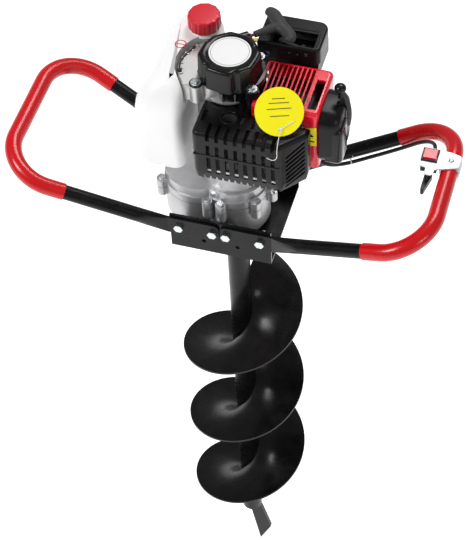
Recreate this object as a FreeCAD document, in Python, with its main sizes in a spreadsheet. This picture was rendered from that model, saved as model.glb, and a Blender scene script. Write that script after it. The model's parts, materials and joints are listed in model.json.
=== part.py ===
import FreeCAD, Part
import math
import os
import Sketcher
from FreeCAD import Placement, Rotation, Vector

# Petrol auger: a helical bit hangs from a two-stage gearbox that is bolted into a U-shaped steel frame.
# Two side loop handles are bolted to the frame, and a small two-stroke engine stands on the gearbox.
# +Z is up along the drive axis, -Y is the front, and the origin is on the drive axis at the pilot's tip.

doc = FreeCAD.newDocument("Auger")

# ---------------------------------------------------------------- driving dimensions (mm, degrees)
SIZES = [
    ("bit_dia", 200, "diameter of the helical flight"),
    ("flight_pitch", 196, "rise per turn"),
    ("flight_turns", 3.05, "turns of flight"),
    ("flight_start", 160, "height of the flight's lower end"),
    ("flight_angle", 70, "direction of the flight's lower end"),
    ("flight_thick", 4, "plate thickness of the flight"),
    ("stem_dia", 35.4, "outside of the bit's stem tube"),
    ("stem_wall", 3, "wall of the stem tube"),
    ("stem_low", 118, "height of the stem's lower end"),
    ("stem_drop", 16, "gap from the frame down to the stem's top"),
    ("weld_gap", 0.05, "gap between welded pieces"),
    ("pilot_width", 25, "width of the pilot's flat bar"),
    ("pilot_thick", 8, "thickness of the pilot's flat bar"),
    ("cutter_width", 42, "width of the cutter blade"),
    ("cutter_thick", 5, "thickness of the cutter blade"),
    ("shaft_dia", 20, "output shaft"),
    ("shaft_below", 88, "output shaft below the frame"),
    ("hitch_pin_dia", 8, "cross pin that holds the bit"),
    ("hitch_drop", 52, "cross pin below the frame"),
    ("slip_gap", 0.1, "radial gap of parts that slide together"),
    ("deck", 942, "height of the frame's underside"),
    ("frame_length", 156, "frame along X"),
    ("frame_depth", 160, "frame along Y"),
    ("frame_height", 68, "height of the frame's flanges"),
    ("frame_plate", 4, "plate thickness of the frame"),
    ("frame_hole", 52, "hole for the gearbox's lower hub"),
    ("bolt_dia", 8, "handle bolts"),
    ("bolt_gap", 0.5, "radial gap of a bolt in its hole"),
    ("bolt_outer", 62.5, "outer handle bolts from the middle"),
    ("bolt_inner", 10.5, "inner handle bolts from the middle"),
    ("bolt_rise", 48.5, "handle bolts above the frame's underside"),
    ("spare_half", 26, "spare holes from the middle"),
    ("spare_rise", 22.5, "spare holes above the frame's underside"),
    ("spare_dia", 7, "spare holes"),
    ("tab_height", 32, "height of a handle's flattened end"),
    ("tab_thick", 4, "thickness of a handle's flattened end"),
    ("tab_split", 1, "each flattened end from the middle"),
    ("taper_length", 46, "length of the squeezed stretch of a handle"),
    ("taper_lead", 2, "straight flattened stretch beyond the frame"),
    ("handle_dia", 22, "handle tube outside"),
    ("handle_wall", 2, "handle tube wall"),
    ("handle_reach", 316.5, "grip centre line from the middle"),
    ("handle_spread", 268, "length between a handle's two bends"),
    ("handle_rise", 154, "grip centre line above the frame's underside"),
    ("bend_radius", 62, "handle bends"),
    ("grip_from", 226, "red grip starts this far from the middle"),
    ("grip_wall", 1.7, "thickness of the grip's skin"),
    ("module_one", 1.5, "module of the upper gear pair"),
    ("gear_width_one", 12, "face width of the upper gears"),
    ("gear_width_two", 18, "face width of the lower gears"),
    ("pinion_bore_gap", 0.02, "radial gap of a gear on its shaft"),
    ("case_wall", 6, "gearbox side wall"),
    ("tooth_gap", 2, "gear tips to the gearbox wall"),
    ("case_joint", 71, "gearbox parting face above the frame's underside"),
    ("gasket_thick", 1, "gearbox gasket"),
    ("case_rim", 14, "height of the upper casting's rim"),
    ("case_top", 30, "upper casting above the gasket"),
    ("rim_bolt_dia", 6, "gearbox bolts"),
    ("boss_radius", 8, "bosses of the gearbox bolts"),
    ("deck_bolt_dia", 8, "bolts from the frame into the gearbox"),
    ("deck_bolt_x", 26, "deck bolts from the middle along X"),
    ("deck_bolt_y", 26, "deck bolts from the middle along Y"),
    ("clutch_drum_dia", 76, "clutch drum"),
    ("clutch_case_dia", 92, "clutch housing"),
    ("clutch_case_height", 82, "clutch housing"),
    ("crankcase_dia", 92, "crankcase"),
    ("crankcase_height", 88, "crankcase"),
    ("cylinder_reach", 136, "end of the cylinder head from the crank axis"),
    ("bore_dia", 44, "cylinder bore"),
    ("stroke", 34, "piston stroke"),
    ("running_gap", 0.05, "radial gap of moving round parts"),
    ("fin_count", 9, "cylinder fins"),
    ("fin_size", 66, "square cooling fins"),
    ("fan_case_dia", 116, "fan housing"),
    ("fan_case_height", 31, "fan housing"),
    ("fan_dia", 76, "flywheel fan"),
    ("cup_dia", 86, "recoil starter cup"),
    ("cup_height", 42, "recoil starter cup"),
    ("cup_wall", 2.5, "recoil starter cup"),
    ("pulley_dia", 60, "rope pulley"),
    ("rope_dia", 4, "starter rope"),
    ("cable_dia", 6, "control cable and fuel hose"),
    ("pull_length", 0.5, "starter rope pull in metres"),
    ("rope_angle", 42, "direction of the starter rope from +X"),
    ("handle_out", 97, "starter handle from the rope's tangent point"),
    ("tank_low", 150, "tank's underside above the frame's underside"),
    ("tank_height", 162, "tank body"),
    ("tank_wall", 2.5, "tank wall"),
    ("cap_dia", 48, "fuel cap"),
    ("cap_height", 22, "fuel cap"),
    ("cap_x", -56, "fuel cap centre"),
    ("cap_y", 72, "fuel cap centre"),
    ("shell_wall", 2.5, "moulded covers"),
    ("tag_dia", 68, "round paper tag"),
]
sheet = doc.addObject("Spreadsheet::Sheet", "Dims")
for row, (alias, number, note) in enumerate(SIZES, start=1):
    sheet.set(f"A{row}", alias)
    sheet.set(f"B{row}", str(number))
    sheet.set(f"C{row}", note)
    sheet.setAlias(f"B{row}", alias)
doc.recompute()


class Size:
    """A number that remembers the formula it came from, so that it can be bound to a property."""

    def __init__(self, number, formula=None):
        self.number = float(number)
        self.formula = formula if formula is not None else repr(self.number)

    def combine(self, other, sign, number):
        return Size(number, f"({self.formula} {sign} {other.formula})")

    def __add__(self, other):
        other = as_size(other)
        return self.combine(other, "+", self.number + other.number)

    def __sub__(self, other):
        other = as_size(other)
        return self.combine(other, "-", self.number - other.number)

    def __mul__(self, other):
        other = as_size(other)
        return self.combine(other, "*", self.number * other.number)

    def __truediv__(self, other):
        other = as_size(other)
        return self.combine(other, "/", self.number / other.number)

    def __radd__(self, other):
        return as_size(other) + self

    def __rsub__(self, other):
        return as_size(other) - self

    def __rmul__(self, other):
        return as_size(other) * self

    def __neg__(self):
        return as_size(0) - self

    def __float__(self):
        return self.number


def as_size(value):
    return value if isinstance(value, Size) else Size(value)


class Dims:
    """Every alias of the sheet as a Size."""


D = Dims()
for alias, number, note in SIZES:
    setattr(D, alias, Size(sheet.get(alias), f"Dims.{alias}"))

# ---------------------------------------------------------------- helpers
PIECES = []
AXES = {"X": Rotation(Vector(0, 1, 0), 90), "Y": Rotation(Vector(1, 0, 0), -90), "Z": Rotation()}


def keep(obj, label):
    """Gives an object its node name and lists it for export."""
    obj.Label = label
    PIECES.append(obj)
    return obj


def bind(obj, **sizes):
    for prop, size in sizes.items():
        obj.setExpression(prop, as_size(size).formula)


def put(obj, x=0, y=0, z=0, rotation=None):
    if rotation is not None:
        obj.Placement = Placement(Vector(), rotation)
    for letter, size in zip("xyz", (x, y, z)):
        obj.setExpression(f".Placement.Base.{letter}", as_size(size).formula)
    return obj


def box(low, high):
    """A box between two corners given as (x, y, z)."""
    obj = doc.addObject("Part::Box", "Block")
    bind(obj, Length=high[0] - as_size(low[0]), Width=high[1] - as_size(low[1]), Height=high[2] - as_size(low[2]))
    return put(obj, *low)


def rod(radius, start, length, axis="Z"):
    """A cylinder from a start point along one axis."""
    obj = doc.addObject("Part::Cylinder", "Rod")
    bind(obj, Radius=radius, Height=length)
    return put(obj, *start, rotation=AXES[axis])


def fuse(*shapes):
    obj = doc.addObject("Part::MultiFuse", "Joined")
    obj.Shapes = list(shapes)
    return obj


def cut(base, *tools):
    obj = doc.addObject("Part::Cut", "Trimmed")
    obj.Base = base
    obj.Tool = tools[0] if len(tools) == 1 else fuse(*tools)
    return obj


def group(*shapes):
    """Separate solids that share one node."""
    obj = doc.addObject("Part::Compound", "Group")
    obj.Links = list(shapes)
    return obj


def ring(outer, inner, start, length, axis="Z"):
    return cut(rod(outer, start, length, axis), rod(inner, start, length, axis))


def rounded(base, radius, chosen):
    """Fillets the edges of base whose middle passes the test chosen(x, y, z)."""
    doc.recompute()
    numbers = []
    for number, edge in enumerate(base.Shape.Edges, start=1):
        middle = edge.valueAt((edge.FirstParameter + edge.LastParameter) / 2)
        if chosen(edge, middle):
            numbers.append((number, float(radius), float(radius)))
    obj = doc.addObject("Part::Fillet", "Rounded")
    obj.Base = base
    obj.Edges = numbers
    return obj


def solid(shape):
    """A Part::Feature for a shape that is worked out in code."""
    obj = doc.addObject("Part::Feature", "Shaped")
    obj.Shape = shape
    return obj


def new_sketch(body, plane):
    sketch = body.newObject("Sketcher::SketchObject", "Outline")
    face = [item for item in body.Origin.OriginFeatures if item.Role == plane][0]
    sketch.AttachmentSupport = (face, [""])
    sketch.MapMode = "FlatFace"
    return sketch


def pin_point(sketch, item, place, corner):
    for kind, size in zip(("DistanceX", "DistanceY"), corner):
        size = as_size(size)
        index = sketch.addConstraint(Sketcher.Constraint(kind, -1, 1, item, place, size.number))
        sketch.setExpression(f"Constraints[{index}]", size.formula)


def draw_polygon(sketch, corners):
    """A closed outline whose corners are bound to their sizes."""
    flat = [Vector(float(as_size(u)), float(as_size(v)), 0) for u, v in corners]
    for index, start in enumerate(flat):
        sketch.addGeometry(Part.LineSegment(start, flat[(index + 1) % len(flat)]), False)
    for index in range(len(flat)):
        sketch.addConstraint(Sketcher.Constraint("Coincident", index, 2, (index + 1) % len(flat), 1))
    for index, corner in enumerate(corners):
        pin_point(sketch, index, 1, corner)


def draw_circle(sketch, centre, radius):
    radius = as_size(radius)
    middle = Vector(float(as_size(centre[0])), float(as_size(centre[1])), 0)
    item = sketch.addGeometry(Part.Circle(middle, Vector(0, 0, 1), radius.number), False)
    pin_point(sketch, item, 3, centre)
    index = sketch.addConstraint(Sketcher.Constraint("Radius", item, radius.number))
    sketch.setExpression(f"Constraints[{index}]", radius.formula)


def turned(profile, x=0, y=0, z=0, rotation=None):
    """A body of revolution from (radius, height) corners."""
    body = doc.addObject("PartDesign::Body", "Turned")
    sketch = new_sketch(body, "XZ_Plane")
    draw_polygon(sketch, profile)
    feature = body.newObject("PartDesign::Revolution", "Revolution")
    feature.Profile = sketch
    feature.ReferenceAxis = (sketch, ["V_Axis"])
    feature.Angle = 360
    return put(body, x, y, z, rotation)


def padded(plane, corners, length, symmetric=False):
    """A body with one polygon padded along its plane's normal."""
    body = doc.addObject("PartDesign::Body", "Padded")
    sketch = new_sketch(body, plane)
    draw_polygon(sketch, corners)
    feature = body.newObject("PartDesign::Pad", "Pad")
    feature.Profile = sketch
    feature.SideType = "Symmetric" if symmetric else "One side"
    bind(feature, Length=length)
    return body


def pocket(body, plane, circles):
    """Round holes right through a body; circles are ((u, v), radius)."""
    sketch = new_sketch(body, plane)
    for centre, radius in circles:
        draw_circle(sketch, centre, radius)
    feature = body.newObject("PartDesign::Pocket", "Holes")
    feature.Profile = sketch
    feature.Type = "ThroughAll"
    feature.SideType = "Symmetric"
    doc.recompute()
    if feature.Shape.Volume >= feature.BaseFeature.Shape.Volume - 1:
        raise RuntimeError("a pocket removed nothing")
    return body


def mirrored(shape, normal):
    return shape.mirror(Vector(), normal)


# ---------------------------------------------------------------- shared places
HALF_DEPTH = D.frame_depth / 2
HALF_LENGTH = D.frame_length / 2
DECK_TOP = D.deck + D.frame_plate
BOLT_Z = D.deck + D.bolt_rise
SPARE_Z = D.deck + D.spare_rise
BOLT_R = D.bolt_dia / 2
BOLT_X = [-D.bolt_outer, -D.bolt_inner, D.bolt_inner, D.bolt_outer]
PINION_TEETH = 10
GEAR_ONE_TEETH = 60
GEAR_TWO_TEETH = 50
AXES_APART = D.module_one * (PINION_TEETH + GEAR_ONE_TEETH) / 2
LAY_X = -AXES_APART
MODULE_TWO = 2 * AXES_APART / (PINION_TEETH + GEAR_TWO_TEETH)
ADDENDUM = 0.8
JOINT_Z = D.deck + D.case_joint
UPPER_Z = JOINT_Z + D.gasket_thick
GEAR_ONE_Z = UPPER_Z + 3
GEAR_TWO_Z = JOINT_Z - 11 - D.gear_width_two
CAVITY_Z = GEAR_TWO_Z - 3
CAVITY_R = MODULE_TWO * (GEAR_TWO_TEETH / 2 + ADDENDUM) + D.tooth_gap
LAY_CAVITY_R = D.module_one * (GEAR_ONE_TEETH / 2 + ADDENDUM) + D.tooth_gap
LOBE_R = CAVITY_R + D.case_wall
LAY_LOBE_R = LAY_CAVITY_R + D.case_wall
CASE_TOP = UPPER_Z + D.case_top
CLUTCH_TOP = CASE_TOP + D.clutch_case_height
CRANKCASE_TOP = CLUTCH_TOP + D.crankcase_height
CYLINDER_Z = CLUTCH_TOP + D.crankcase_height / 2
FAN_TOP = CRANKCASE_TOP + D.fan_case_height
CUP_TOP = FAN_TOP + D.cup_height
SHAFT_R = D.shaft_dia / 2
LAY_SHAFT_R = MODULE_TWO * 4
INPUT_SHAFT_R = D.module_one * 4


# ---------------------------------------------------------------- frame
def make_frame():
    t = D.frame_plate
    low, high = D.deck, D.deck + D.frame_height
    profile = [(-HALF_DEPTH, low), (HALF_DEPTH, low), (HALF_DEPTH, high), (HALF_DEPTH - t, high),
               (HALF_DEPTH - t, low + t), (t - HALF_DEPTH, low + t), (t - HALF_DEPTH, high), (-HALF_DEPTH, high)]
    body = padded("YZ_Plane", profile, D.frame_length, symmetric=True)
    bolts = [((x, BOLT_Z), BOLT_R + D.bolt_gap) for x in BOLT_X]
    spares = [((x, SPARE_Z), D.spare_dia / 2) for x in (-D.spare_half, D.spare_half)]
    pocket(body, "XZ_Plane", bolts + spares)
    deck_holes = [((x, y), D.deck_bolt_dia / 2 + D.bolt_gap) for x, y in deck_bolt_places()]
    pocket(body, "XY_Plane", [((0, 0), D.frame_hole / 2)] + deck_holes)
    keep(body, "frame_bracket")


def deck_bolt_places():
    return [(x, y) for x in (-D.deck_bolt_x, D.deck_bolt_x) for y in (-D.deck_bolt_y, D.deck_bolt_y)]


def hexagon(across_corners, start, length, axis="Z"):
    obj = doc.addObject("Part::Prism", "Hexagon")
    obj.Polygon = 6
    bind(obj, Circumradius=across_corners / 2, Height=length)
    return put(obj, *start, rotation=AXES[axis])


def make_handle_fasteners():
    """Bolts from outside through the flattened ends and the flanges, with a washer and a nut inside."""
    head, washer, nut = D.bolt_dia * 0.65, D.bolt_dia * 0.2, D.bolt_dia * 0.8
    wide = D.bolt_dia * 1.85
    face = HALF_DEPTH + D.tab_thick
    inside = HALF_DEPTH - D.frame_plate
    shank = D.tab_thick + D.frame_plate + washer + nut + 6
    bolts, nuts = [], []
    for x in BOLT_X:
        bolts.append(fuse(hexagon(wide, (x, -face - head, BOLT_Z), head, "Y"),
                          rod(BOLT_R, (x, -face - 1, BOLT_Z), shank + 1, "Y")))
        bolts.append(fuse(hexagon(wide, (x, face, BOLT_Z), head, "Y"),
                          rod(BOLT_R, (x, face - shank, BOLT_Z), shank + 1, "Y")))
        hole = BOLT_R + D.slip_gap
        nuts.append(cut(fuse(rod(BOLT_R * 2, (x, -inside, BOLT_Z), washer, "Y"),
                             hexagon(wide, (x, washer - inside, BOLT_Z), nut, "Y")),
                        rod(hole, (x, -inside - 1, BOLT_Z), washer + nut + 2, "Y")))
        nuts.append(cut(fuse(rod(BOLT_R * 2, (x, inside - washer, BOLT_Z), washer, "Y"),
                             hexagon(wide, (x, inside - washer - nut, BOLT_Z), nut, "Y")),
                        rod(hole, (x, inside - washer - nut - 1, BOLT_Z), washer + nut + 2, "Y")))
    keep(group(*bolts), "handle_bolts")
    keep(group(*nuts), "handle_nuts")


def make_deck_bolts():
    """Bolts from below through the frame into the gearbox."""
    radius = D.deck_bolt_dia / 2
    head = D.deck_bolt_dia * 0.65
    bolts = [fuse(hexagon(D.deck_bolt_dia * 1.85, (x, y, D.deck - head), head),
                  rod(radius, (x, y, D.deck - 1), D.frame_plate + 15))
             for x, y in deck_bolt_places()]
    keep(group(*bolts), "deck_bolts")


# ---------------------------------------------------------------- bent tubes, handles and grips
def smooth_path(points, radii=None):
    """Straight runs joined by tangent arcs, whose radii are given or worked out from the runs beside them."""
    points = [Vector(*point) for point in points]
    edges = []
    worked_out = []
    start = points[0]
    for index in range(1, len(points) - 1):
        before, here, after = points[index - 1:index + 2]
        back, on = (before - here), (after - here)
        turn = math.pi - back.getAngle(on)
        radius = radii[index - 1] if radii else 0.45 * min(back.Length, on.Length) / math.tan(turn / 2)
        worked_out.append(round(radius, 1))
        reach = radius * math.tan(turn / 2)
        back.normalize()
        on.normalize()
        bisector = back + on
        bisector.normalize()
        first, last = here + back * reach, here + on * reach
        middle = here + bisector * (radius / math.cos(turn / 2) - radius)
        edges.append(Part.LineSegment(start, first).toShape())
        edges.append(Part.Arc(first, middle, last).toShape())
        start = last
    edges.append(Part.LineSegment(start, points[-1]).toShape())
    path = Part.Wire(edges)
    if radii is None:
        print("cord radii", worked_out, "length", round(path.Length, 1))
    return path


def sweep(path, radius):
    """A round bar along a path; its volume is compared with its section times its length."""
    edge = path.Edges[0]
    start = edge.valueAt(edge.FirstParameter)
    along = edge.tangentAt(edge.FirstParameter)
    section = Part.Wire([Part.makeCircle(radius, start, along)])
    bar = path.makePipeShell([section], True, True)
    expected = math.pi * radius ** 2 * path.Length
    if abs(bar.Volume - expected) > 0.01 * expected:
        raise RuntimeError("a swept bar has the wrong volume")
    return bar


def four_sided(centre, along, tall_half, wide_half, bulge):
    """A wire of four edges across the direction given, tall in Z; bulge 0 makes it a rectangle, 1 an oval."""
    side = Vector(-along.y, along.x, 0)
    side.normalize()
    up = side.cross(along)
    up.normalize()
    if up.z < 0:
        up = up * -1
    if side.y < 0:
        side = side * -1

    def at(angle, stretch):
        turn = math.radians(angle)
        return centre + side * (wide_half * stretch * math.cos(turn)) + up * (tall_half * stretch * math.sin(turn))

    corner = math.sqrt(2) + bulge * (1 - math.sqrt(2))
    edges = []
    for start in (-45, 45, 135, 225):
        first, last = at(start, corner), at(start + 90, corner)
        if bulge == 0:
            edges.append(Part.LineSegment(first, last).toShape())
        else:
            flat_middle = (first + last) * 0.5
            middle = flat_middle + (at(start + 45, 1) - flat_middle) * bulge
            edges.append(Part.Arc(first, middle, last).toShape())
    return Part.Wire(edges)


def handle_points():
    """Round stretch of the right-hand loop: leg start, two corners, leg end."""
    face = float(HALF_DEPTH + D.tab_thick / 2)
    reach, half = float(D.handle_reach), float(D.handle_spread) / 2
    top, low = float(D.deck + D.handle_rise), float(BOLT_Z)
    corner = Vector(reach, -half, top)
    foot = Vector(float(HALF_LENGTH + D.taper_lead), -face, low)
    leg = corner - foot
    leg_start = foot + leg * (float(D.taper_length) / leg.x)
    back = Vector(1, -1, 1)
    points = [leg_start, corner]
    return points + [Vector(p.x * back.x, p.y * back.y, p.z * back.z) for p in reversed(points)]


def make_handles():
    points = handle_points()
    radius = float(D.handle_dia / 2)
    bend = float(D.bend_radius)
    path = smooth_path(points, [bend, bend])
    outer = sweep(path, radius)
    inner = sweep(path, radius - float(D.handle_wall))
    pieces = []
    half_tab = float(D.tab_height) / 2
    thick = float(D.tab_thick)
    face = float(HALF_DEPTH)
    flat_end = float(HALF_LENGTH + D.taper_lead)
    split = float(D.tab_split)
    hole = float(BOLT_R + D.bolt_gap)
    for side, point, corner in ((-1, points[0], points[1]), (1, points[3], points[2])):
        along = corner - point
        along.normalize()
        foot = Vector(flat_end, side * (face + thick / 2), float(BOLT_Z))
        middle = (foot + point) * 0.5
        sections = [four_sided(foot, Vector(1, 0, 0), half_tab, thick / 2, 0),
                    four_sided(middle, point - foot, half_tab * 0.86, radius * 0.62, 0.75),
                    four_sided(point, along, radius, radius, 1)]
        taper = Part.makeLoft(sections, True, False)
        low_y = face if side > 0 else -face - thick
        tab = Part.makeBox(flat_end - split, thick, 2 * half_tab, Vector(split, low_y, float(BOLT_Z) - half_tab))
        tab = tab.makeFillet(half_tab * 0.5, [e for e in tab.Edges if abs(e.CenterOfMass.x - split) < 0.01
                                              and abs(e.CenterOfMass.z - float(BOLT_Z)) > half_tab - 0.01
                                              and abs(e.Length - thick) < 0.01])
        for x in (float(D.bolt_inner), float(D.bolt_outer)):
            tab = tab.cut(Part.makeCylinder(hole, thick + 2, Vector(x, low_y - 1, float(BOLT_Z)), Vector(0, 1, 0)))
        pieces += [taper, tab]
    right = outer.multiFuse(pieces).cut(inner)
    keep(solid(right), "right_handle_tube")
    keep(solid(mirrored(right, Vector(1, 0, 0))), "left_handle_tube")

    start = float(D.grip_from)
    leg = points[1] - points[0]
    grip_start = points[0] + leg * ((start - points[0].x) / leg.x)
    grip_end = Vector(grip_start.x, -grip_start.y, grip_start.z)
    grip_path = smooth_path([grip_start, points[1], points[2], grip_end], [bend, bend])
    skin = sweep(grip_path, radius + float(D.grip_wall)).cut(sweep(grip_path, radius + float(D.weld_gap)))
    keep(solid(skin), "right_grip")
    keep(solid(mirrored(skin, Vector(1, 0, 0))), "left_grip")


# ---------------------------------------------------------------- bit
STEM_R = D.stem_dia / 2
STEM_TOP = D.deck - D.stem_drop
HITCH_Z = D.deck - D.hitch_drop
HITCH_R = D.hitch_pin_dia / 2


def make_stem():
    """The stem tube with a welded sleeve at its top that fits the output shaft."""
    inner = STEM_R - D.stem_wall
    sleeve_low = D.deck - D.shaft_below - 6
    bore = SHAFT_R + D.slip_gap
    profile = [(inner, D.stem_low), (STEM_R, D.stem_low), (STEM_R, STEM_TOP), (bore, STEM_TOP),
               (bore, sleeve_low), (inner, sleeve_low)]
    tube = turned(profile)
    tube = cut(tube, rod(HITCH_R + D.slip_gap, (-STEM_R - 1, 0, HITCH_Z), D.stem_dia + 2, "X"))
    keep(tube, "bit_tube")


def make_hitch_pin():
    """Cross pin with a head at one end and a spring clip through the other."""
    reach = STEM_R + 12
    pin = fuse(rod(HITCH_R, (-STEM_R - 2, 0, HITCH_Z), reach + STEM_R + 2, "X"),
               rod(HITCH_R * 1.6, (-STEM_R - 6, 0, HITCH_Z), 4, "X"))
    clip_x = STEM_R + 6
    wire = 1.2
    pin = cut(pin, rod(wire + D.slip_gap, (clip_x, -HITCH_R - 1, HITCH_Z), D.hitch_pin_dia + 2, "Y"))
    keep(pin, "bit_pin")
    x, z = float(clip_x), float(HITCH_Z)
    bow = float(HITCH_R) + wire + 1.0
    straight = Vector(x, -12, z)
    points = [straight, Vector(x, 16, z), Vector(x, 24, z + bow), Vector(x, 12, z + 2 * bow),
              Vector(x, 0, z + bow), Vector(x, -12, z + 1.6 * bow)]
    radii = [3.5, 4.0, 6.0, 4.0]
    keep(solid(sweep(smooth_path(points, radii), wire)), "pin_clip")


def helicoid(inner, outer, pitch, turns, thick, low, angle):
    """A helical plate: its radial section turns and rises along a helix."""
    spine = Part.makeHelix(pitch, pitch * turns, (inner + outer) / 2)
    half = thick / 2
    corners = [Vector(inner, 0, -half), Vector(outer, 0, -half), Vector(outer, 0, half), Vector(inner, 0, half)]
    section = Part.makePolygon(corners + corners[:1])
    plate = Part.Wire(spine.Edges).makePipeShell([section], True, True)
    expected = math.pi * (outer ** 2 - inner ** 2) * turns * thick
    if abs(plate.Volume - expected) > 0.01 * expected:
        raise RuntimeError("the flight has the wrong volume")
    plate.rotate(Vector(), Vector(0, 0, 1), angle)
    plate.translate(Vector(0, 0, low))
    return plate


def make_flight():
    inner = float(STEM_R + D.weld_gap)
    plate = helicoid(inner, float(D.bit_dia / 2), float(D.flight_pitch), float(D.flight_turns),
                     float(D.flight_thick), float(D.flight_start), float(D.flight_angle))
    keep(solid(plate), "auger_flight")


def make_cutter():
    """A hardened blade bolted under the lower end of the flight, following its slope."""
    inner = float(STEM_R) + 14
    length = float(D.bit_dia) / 2 - inner + 2
    width, thick = float(D.cutter_width), float(D.cutter_thick)
    slope = math.degrees(math.atan(float(D.flight_pitch) / (2 * math.pi * (inner + length / 2))))
    gap = 1.5 + thick
    section = [(0.4, 0), (0.4, -1), (-0.35, -1), (-0.6, -0.15), (-0.6, 0)]
    corners = [Vector(inner, width * along, thick * up - gap) for along, up in section]
    blade = Part.Face(Part.makePolygon(corners + corners[:1])).extrude(Vector(length, 0, 0))
    bolts = []
    for share in (0.25, 0.72):
        x = inner + length * share
        hole = Part.makeCylinder(3.2, thick + 2, Vector(x, 6, -gap - thick - 1))
        blade = blade.cut(hole)
        bolts.append(Part.makeCylinder(3, thick + 0.4, Vector(x, 6, -gap - thick)).fuse(
            Part.makeCylinder(6, 3, Vector(x, 6, -gap - thick - 3))))
    placed = []
    for shape in [blade] + bolts:
        shape.rotate(Vector(), Vector(1, 0, 0), slope)
        shape.translate(Vector(0, 0, float(D.flight_start) + gap * 0.35))
        shape.rotate(Vector(), Vector(0, 0, 1), float(D.flight_angle))
        placed.append(shape)
    keep(solid(placed[0]), "cutter_blade")
    keep(solid(Part.makeCompound(placed[1:])), "cutter_bolts")


def make_pilot():
    """A plug in the stem's lower end that carries a long slanted bar and a short one behind it."""
    w, t = float(D.pilot_width), float(D.pilot_thick)
    low = float(D.stem_low)
    corners = [(-8, low), (-4, low - 5), (w * 0.57, 0), (w * 1.4, w * 1.88), (w * 0.68, low), (w * 0.5, low + 20),
               (-8, low + 20)]
    wire = Part.makePolygon([Vector(x, -t / 2, z) for x, z in corners + corners[:1]])
    bar = Part.Face(wire).extrude(Vector(0, t, 0))
    stub = Part.makeBox(t, w * 0.9, 46, Vector(-t / 2 - 2, t / 2 - 1, low - 36))
    plug_r = float(STEM_R - D.stem_wall - D.weld_gap)
    plug = Part.makeCylinder(plug_r, 30, Vector(0, 0, low))
    stub = stub.common(Part.makeCylinder(float(STEM_R), 200, Vector(0, 0, 0)))
    bar_top = bar.common(Part.makeCylinder(plug_r, 40, Vector(0, 0, low)))
    bar = bar.common(Part.makeBox(200, 200, low, Vector(-100, -100, 0))).fuse(bar_top)
    stub_top = stub.common(Part.makeCylinder(plug_r, 40, Vector(0, 0, low)))
    stub = stub.common(Part.makeBox(200, 200, low, Vector(-100, -100, 0))).fuse(stub_top)
    keep(solid(plug.multiFuse([bar, stub])), "pilot_point")


# ---------------------------------------------------------------- gears and gearbox
def involute(angle):
    return math.tan(angle) - angle


def gear(module, teeth, width, bore, phase):
    """A spur gear with stub teeth at 25 degrees; phase turns it, in tooth pitches."""
    pressure = math.radians(25)
    backlash = 0.14 * module
    pitch_r = module * teeth / 2
    base_r = pitch_r * math.cos(pressure)
    root_r, tip_r = pitch_r - module, pitch_r + ADDENDUM * module

    def half_angle(radius):
        flank = math.acos(min(1.0, base_r / radius))
        return math.pi / (2 * teeth) - backlash / (2 * pitch_r) + involute(pressure) - involute(flank)

    def at(radius, angle):
        return Vector(radius * math.cos(angle), radius * math.sin(angle), 0)

    start_r = max(base_r, root_r + 0.05)
    middle_r = (start_r + tip_r) / 2
    edges = []
    step = 2 * math.pi / teeth
    for number in range(teeth):
        centre = step * (number + phase)
        low, middle, high = half_angle(start_r), half_angle(middle_r), half_angle(tip_r)
        root = at(root_r, centre - low)
        edges.append(Part.LineSegment(root, at(start_r, centre - low)).toShape())
        edges.append(Part.Arc(at(start_r, centre - low), at(middle_r, centre - middle),
                              at(tip_r, centre - high)).toShape())
        edges.append(Part.Arc(at(tip_r, centre - high), at(tip_r, centre), at(tip_r, centre + high)).toShape())
        edges.append(Part.Arc(at(tip_r, centre + high), at(middle_r, centre + middle),
                              at(start_r, centre + low)).toShape())
        edges.append(Part.LineSegment(at(start_r, centre + low), at(root_r, centre + low)).toShape())
        edges.append(Part.Arc(at(root_r, centre + low), at(root_r, centre + step / 2),
                              at(root_r, centre + step - low)).toShape())
    blank = Part.Face(Part.Wire(edges)).extrude(Vector(0, 0, width))
    if bore > 0:
        blank = blank.cut(Part.makeCylinder(bore, width + 2, Vector(0, 0, -1)))
    return blank


def make_gears():
    lay = Vector(float(LAY_X), 0, 0)
    up_one, up_two = Vector(0, 0, float(GEAR_ONE_Z)), Vector(0, 0, float(GEAR_TWO_Z))
    one, two = float(D.module_one), float(MODULE_TWO)
    gap = float(D.pinion_bore_gap)
    width_one, width_two = float(D.gear_width_one), float(D.gear_width_two)

    big = gear(two, GEAR_TWO_TEETH, width_two, float(SHAFT_R) + gap, 0.5)
    big.translate(up_two)
    keep(solid(big), "output_gear")

    wheel = gear(one, GEAR_ONE_TEETH, width_one, float(LAY_SHAFT_R) + gap, 0.5)
    wheel.translate(lay + up_one)
    keep(solid(wheel), "layshaft_gear")

    shaft_low = float(CAVITY_Z) - 10.9
    shaft_high = float(CASE_TOP) - 2
    small = gear(two, PINION_TEETH, width_two, 0, 0)
    small.translate(up_two)
    shaft = Part.makeCylinder(float(LAY_SHAFT_R), shaft_high - shaft_low, Vector(0, 0, shaft_low))
    shaft = shaft.fuse(small)
    shaft.translate(lay)
    keep(solid(shaft), "layshaft")

    pinion = gear(one, PINION_TEETH, width_one, 0, 0)
    pinion.translate(up_one)
    stem = Part.makeCylinder(float(INPUT_SHAFT_R), float(CASE_TOP + 16 - GEAR_ONE_Z), up_one)
    keep(solid(pinion.fuse(stem)), "input_pinion")


BEARING_RACE = 3


def bearing(bore, outer, low, width, x=0):
    """Inner race, outer race and a ring of balls between them, as three kinds of solid."""
    inner_race = ring(bore + BEARING_RACE, bore, (x, 0, low), width)
    outer_race = ring(outer, outer - BEARING_RACE, (x, 0, low), width)
    cage = ring(outer - BEARING_RACE - D.slip_gap, bore + BEARING_RACE + D.slip_gap,
                (x, 0, low + width * 0.2), width * 0.6)
    return [inner_race, outer_race, cage]


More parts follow.
